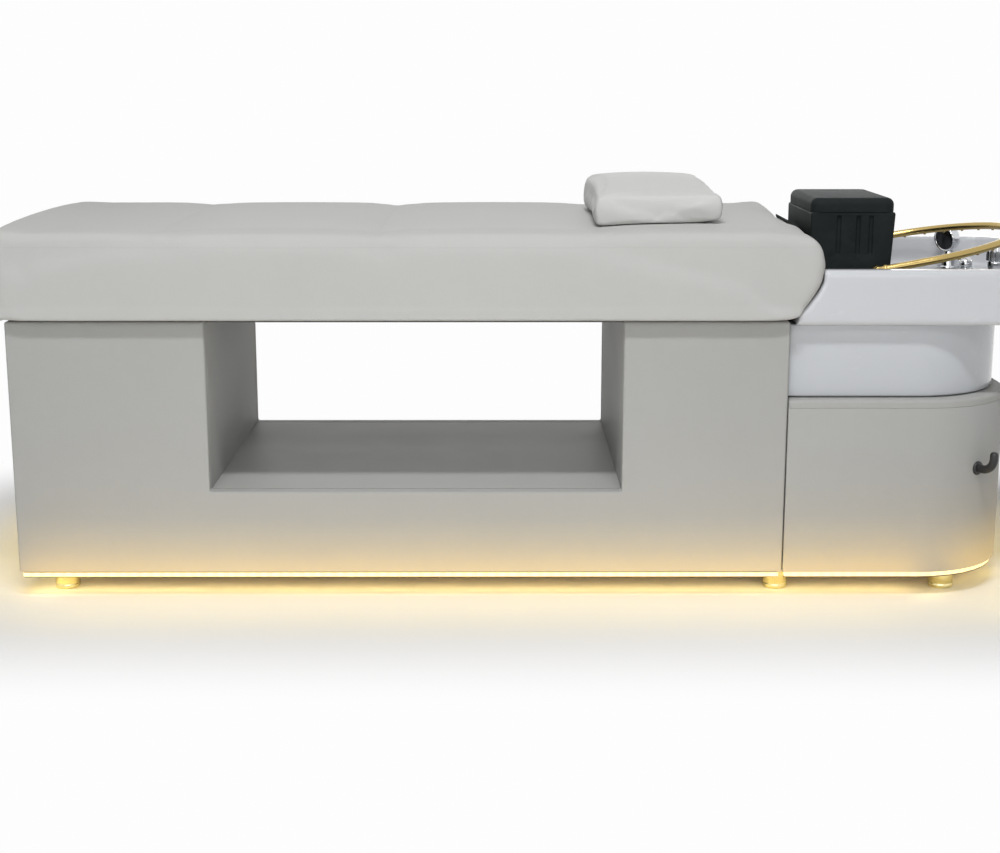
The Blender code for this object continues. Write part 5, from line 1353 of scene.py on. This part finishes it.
class SPABED_OT_feet_and_lights(Operator):
    """Turn the round feet and light the bars under the cabinets"""
    bl_idname = "spabed.feet_and_lights"
    bl_label = "Feet and lights"

    near_inset: length("Near inset", "How far inside the cabinet's edge the near lamps hang", 0.050)
    near_height: length("Near height", "Height of the near lamps over the floor", 0.038)
    wash_gap: length("Wash gap", "Distance of the floor's lamps from the cabinet", 0.090)
    wash_height: length("Wash height", "Height of the floor's lamps", 0.220)
    glow_gap: length("Glow gap", "Distance of the hide's lamps from the cabinet", 0.060)
    glow_height: length("Glow height", "Height of the hide's lamps over the floor", 0.012)

    def execute(self, context):
        lights = context.scene.spa_bed.lights
        for index in range(1, 7):
            node = "foot_{}".format(index)
            tall = high(node).z
            centre = Vector((*middle(node).xy, 0.0))
            cup = [(0.0, tall), (0.0250, tall), (0.0250, 0.0110), (0.0246, 0.0104), (0.0246, 0.0092),
                   (0.0250, 0.0086), (0.0250, 0.0030), (0.0247, 0.0016), (0.0240, 0.0006), (0.0228, 0.0),
                   (0.0, 0.0)]
            mesh = settle(lathe(cup, centre, steps=64))
            piece("foot_cup_{}".format(index), mesh, "brass", "bed", "gold", node)
        for side in ("front", "back", "foot_end", "rear"):
            dress("light_strip_" + side, "light_bar")

        foot_x, rear = low("front_panel").x, high("rear_shell")
        corner = context.scene.spa_bed.soft.rear_corner
        side_length = rear.x - corner - foot_x
        centre = foot_x + side_length / 2
        slant = math.sqrt(0.5)
        bend = rear.x - corner + corner * slant, rear.y - corner + corner * slant
        edges = {
            "front": ((centre, -rear.y), (0, -1), side_length, 1.0),
            "back": ((centre, rear.y), (0, 1), side_length, 1.0),
            "foot": ((foot_x, 0), (-1, 0), 2 * rear.y, 1.5),
            "rear": ((rear.x, 0), (1, 0), 2 * (rear.y - corner), 1.5),
            "near_corner": ((bend[0], -bend[1]), (slant, -slant), 1.5 * corner, 1.5),
            "far_corner": (bend, (slant, slant), 1.5 * corner, 1.5),
        }
        for name, (edge, out, run, gain) in edges.items():
            edge, out, up = Vector((*edge, 0.0)), Vector((*out, 0.0)), Vector((0.0, 0.0, 1.0))
            along = out.cross(up)
            seat = edge - out * self.near_inset + up * self.near_height
            near = area_lamp("near_" + name, seat, seat - up, (run, 0.01), lights.near * run * (2.0 - gain),
                             tuple(lights.near_tint), along=along)
            seat = edge + out * self.wash_gap + up * self.wash_height
            wash = area_lamp("wash_" + name, seat, seat - up, (run, 0.02), lights.wash * run * gain,
                             tuple(lights.tint), 120.0, along)
            seat = edge + out * self.glow_gap + up * self.glow_height
            glow = area_lamp("glow_" + name, seat, seat - out + up, (run, 0.02), lights.glow * run,
                             tuple(lights.hide_tint), 90.0, along)
            for lamp in (near, wash, glow):
                unseen(lamp)
        return {"FINISHED"}


class SPABED_OT_hook(Operator):
    """Mould the hook on the near rear corner"""
    bl_idname = "spabed.hook"
    bl_label = "Hook"

    angle: FloatProperty(name="Angle", description="Direction of the hook from the side", default=0.6109,
                         subtype="ANGLE")
    base: length("Base", "Radius of the hook's foot", 0.014)
    reach: length("Reach", "How far the hook stands out", 0.040)
    rise: length("Rise", "How far its tip rises", 0.040)
    radius: length("Radius", "Radius of the hook's arm", 0.0085)

    def execute(self, context):
        corner = context.scene.spa_bed.soft.rear_corner
        rear = high("rear_shell")
        out = Vector((math.sin(self.angle), -math.cos(self.angle), 0.0))
        centre = Vector((rear.x - corner, corner - rear.y, low("hose_hook").z + self.base))
        seat = centre + out * (corner * math.cos(math.radians(5.0)) + FINE)
        size = self.base
        disc = [(0.0, 0.0), (size, 0.0), (size, 0.0026), (size - 0.0008, 0.0040), (size - 0.0026, 0.0050),
                (0.0, 0.0050)]
        foot = lathe(disc, seat, out, 48)
        up = Vector((0.0, 0.0, 1.0))
        points = [seat + out * 0.002, seat + out * 0.008]
        steps = 24
        for step in range(steps + 1):
            bend = math.pi / 2 * step / steps
            points.append(seat + out * (self.reach * (0.35 + 0.65 * math.sin(bend)))
                          + up * (self.rise * 0.65 * (1 - math.cos(bend))))
        tip = points[-1]
        ends = [(0.10, 1.0), (0.20, 0.98), (0.27, 0.90), (0.32, 0.72), (0.345, 0.45), (0.35, 0.12)]
        points += [tip + up * self.rise * part for part, _ in ends]
        taper = [1.0] * (steps + 3) + [part for _, part in ends]
        arm = tube(points, self.radius, taper)
        mesh = together(foot, arm)
        piece("hose_hook_moulding", mesh, "black_plastic", "bed", "black_plastic", "hose_hook", angle=50)
        return {"FINISHED"}


class SPABED_OT_service(Operator):
    """Finish the water works, the inlet, the switch and the hinges"""
    bl_idname = "spabed.service"
    bl_label = "Service pieces"

    def execute(self, context):
        looks = {
            "water_tank": "tank_plastic", "drain_pipe": "pipe_plastic", "pump_volute": "pipe_plastic",
            "pump_motor": "steel", "heater": "steel", "hose_tank_to_pump": "hose_rubber",
            "hose_pump_to_heater": "hose_rubber", "hose_heater_to_basin": "hose_rubber",
            "power_inlet": "black_plastic", "switch_bezel": "black_plastic",
            "switch_rocker": "black_plastic", "hinge_fixed_lower": "steel", "hinge_fixed_upper": "steel",
            "hinge_moving_lower": "steel", "hinge_moving_upper": "steel",
        }
        for node, look in looks.items():
            dress(node, look)
        return {"FINISHED"}


class SPABED_OT_stage(Operator):
    """Set the floor, the lamps, the world and the camera"""
    bl_idname = "spabed.stage"
    bl_label = "Stage"

    def execute(self, context):
        scene, stage = context.scene, context.scene.spa_bed.stage
        size = stage.floor_size
        floor = block((-size, -size, -0.01), (size, size, 0.0))
        floor.name = "floor"
        paint = Finish("floor", (0.84, 0.84, 0.835), 0.7, specular_ior_level=0.1)
        across, along, _ = paint.axes()
        low_x, low_y = CAD_BOX[0][0], CAD_BOX[0][1]
        high_x, high_y = CAD_BOX[1][0], CAD_BOX[1][1]
        past_x = (across - (low_x + high_x) / 2).far().past((high_x - low_x) / 2)
        past_y = (along - (low_y + high_y) / 2).far().past((high_y - low_y) / 2)
        away = (past_x * past_x + past_y * past_y) ** 0.5
        share_out = ((away - stage.shade_start) / (stage.shade_end - stage.shade_start)).clamp()
        eased = share_out * share_out * (3.0 - share_out * 2.0)
        seen = paint.node("ShaderNodeLightPath", output="Is Camera Ray")
        mirrored = Value(paint, seen.socket.node.outputs["Is Glossy Ray"])
        grain = paint.noise(3.0, 3.0)
        paint.feed("Roughness", 0.62 + grain * 0.12)
        glow = paint.node("ShaderNodeEmission", sockets={"Color": (*stage.backdrop, 1.0), "Strength": 1.0},
                          output="Emission")
        shown = paint.node("ShaderNodeMixShader", sockets={
            0: (seen + mirrored).clamp() * eased, 1: Value(paint, paint.shader.outputs[0]), 2: glow})
        surface = paint.tree.nodes["Material Output"].inputs["Surface"]
        paint.tree.links.new(shown.socket, surface)
        floor.data.materials.append(paint.material)

        world = bpy.data.worlds.new("studio")
        scene.world = world
        world.use_nodes = True
        tree = world.node_tree
        sky = tree.nodes["Background"]
        sky.inputs["Color"].default_value = (*stage.backdrop, 1.0)
        rays = tree.nodes.new("ShaderNodeLightPath")
        seen = tree.nodes.new("ShaderNodeMath")
        seen.operation = "MAXIMUM"
        tree.links.new(rays.outputs["Is Camera Ray"], seen.inputs[0])
        tree.links.new(rays.outputs["Is Glossy Ray"], seen.inputs[1])
        level = tree.nodes.new("ShaderNodeMapRange")
        level.inputs["To Min"].default_value = stage.sky
        level.inputs["To Max"].default_value = 1.0
        tree.links.new(seen.outputs[0], level.inputs["Value"])
        tree.links.new(level.outputs[0], sky.inputs["Strength"])

        centre = (-0.05, 0.0, 0.45)
        area_lamp("key", (-0.25, -2.50, 4.78), centre, (2.0, 0.40), stage.key)
        area_lamp("low_key", (-0.20, -4.10, 3.32), centre, (1.6, 0.50), stage.low_key)
        area_lamp("overhead", (0.05, 0.50, 4.60), centre, (3.6, 2.4), stage.overhead)
        area_lamp("front_fill", (-0.10, -4.90, 1.35), centre, (4.2, 1.6), stage.fill)
        unseen(area_lamp("bounce", (-0.28, -0.80, 0.03), (-0.28, -0.35, 0.30), (1.8, 0.10), stage.bounce,
                         (1.0, 0.97, 0.90), 120.0))
        area_lamp("rear_fill", (0.30, 4.60, 1.60), centre, (4.2, 1.6), stage.rear_fill)

        camera = bpy.data.cameras.new("camera")
        camera.sensor_width = 36.0
        camera.lens = stage.lens * 1000.0
        camera.clip_end = 100.0
        made = bpy.data.objects.new("camera", camera)
        made.location = stage.camera_place
        made.rotation_euler = (math.pi / 2 - stage.pitch, 0.0, stage.turn)
        scene.collection.objects.link(made)
        scene.camera = made
        scene.view_settings.view_transform = "Standard"
        return {"FINISHED"}


OPERATORS = (
    SPABED_OT_stage, SPABED_OT_mattress, SPABED_OT_pillow, SPABED_OT_cabinet, SPABED_OT_rear_cabinet,
    SPABED_OT_basin, SPABED_OT_neck_rest, SPABED_OT_water_arch, SPABED_OT_shower, SPABED_OT_taps,
    SPABED_OT_feet_and_lights, SPABED_OT_hook, SPABED_OT_service,
)


class SPABED_PT_panel(Panel):
    """Lists the pieces of the bed"""
    bl_idname = "SPABED_PT_panel"
    bl_label = "Spa Bed"
    bl_space_type = "VIEW_3D"
    bl_region_type = "UI"
    bl_category = "Spa Bed"

    def draw(self, context):
        for operator in OPERATORS:
            self.layout.operator(operator.bl_idname)


SETTINGS = (SoftSettings, BasinSettings, FittingSettings, LightSettings, StageSettings, SpaBedSettings)


def register():
    for item in (*SETTINGS, *OPERATORS, SPABED_PT_panel):
        bpy.utils.register_class(item)
    bpy.types.Scene.spa_bed = PointerProperty(type=SpaBedSettings)


def unregister():
    del bpy.types.Scene.spa_bed
    for item in reversed((*SETTINGS, *OPERATORS, SPABED_PT_panel)):
        bpy.utils.unregister_class(item)


def main():
    """Dress the whole bed."""
    register()
    for operator in OPERATORS:
        group, name = operator.bl_idname.split(".")
        getattr(getattr(bpy.ops, group), name)()


if __name__ == "__main__":
    main()
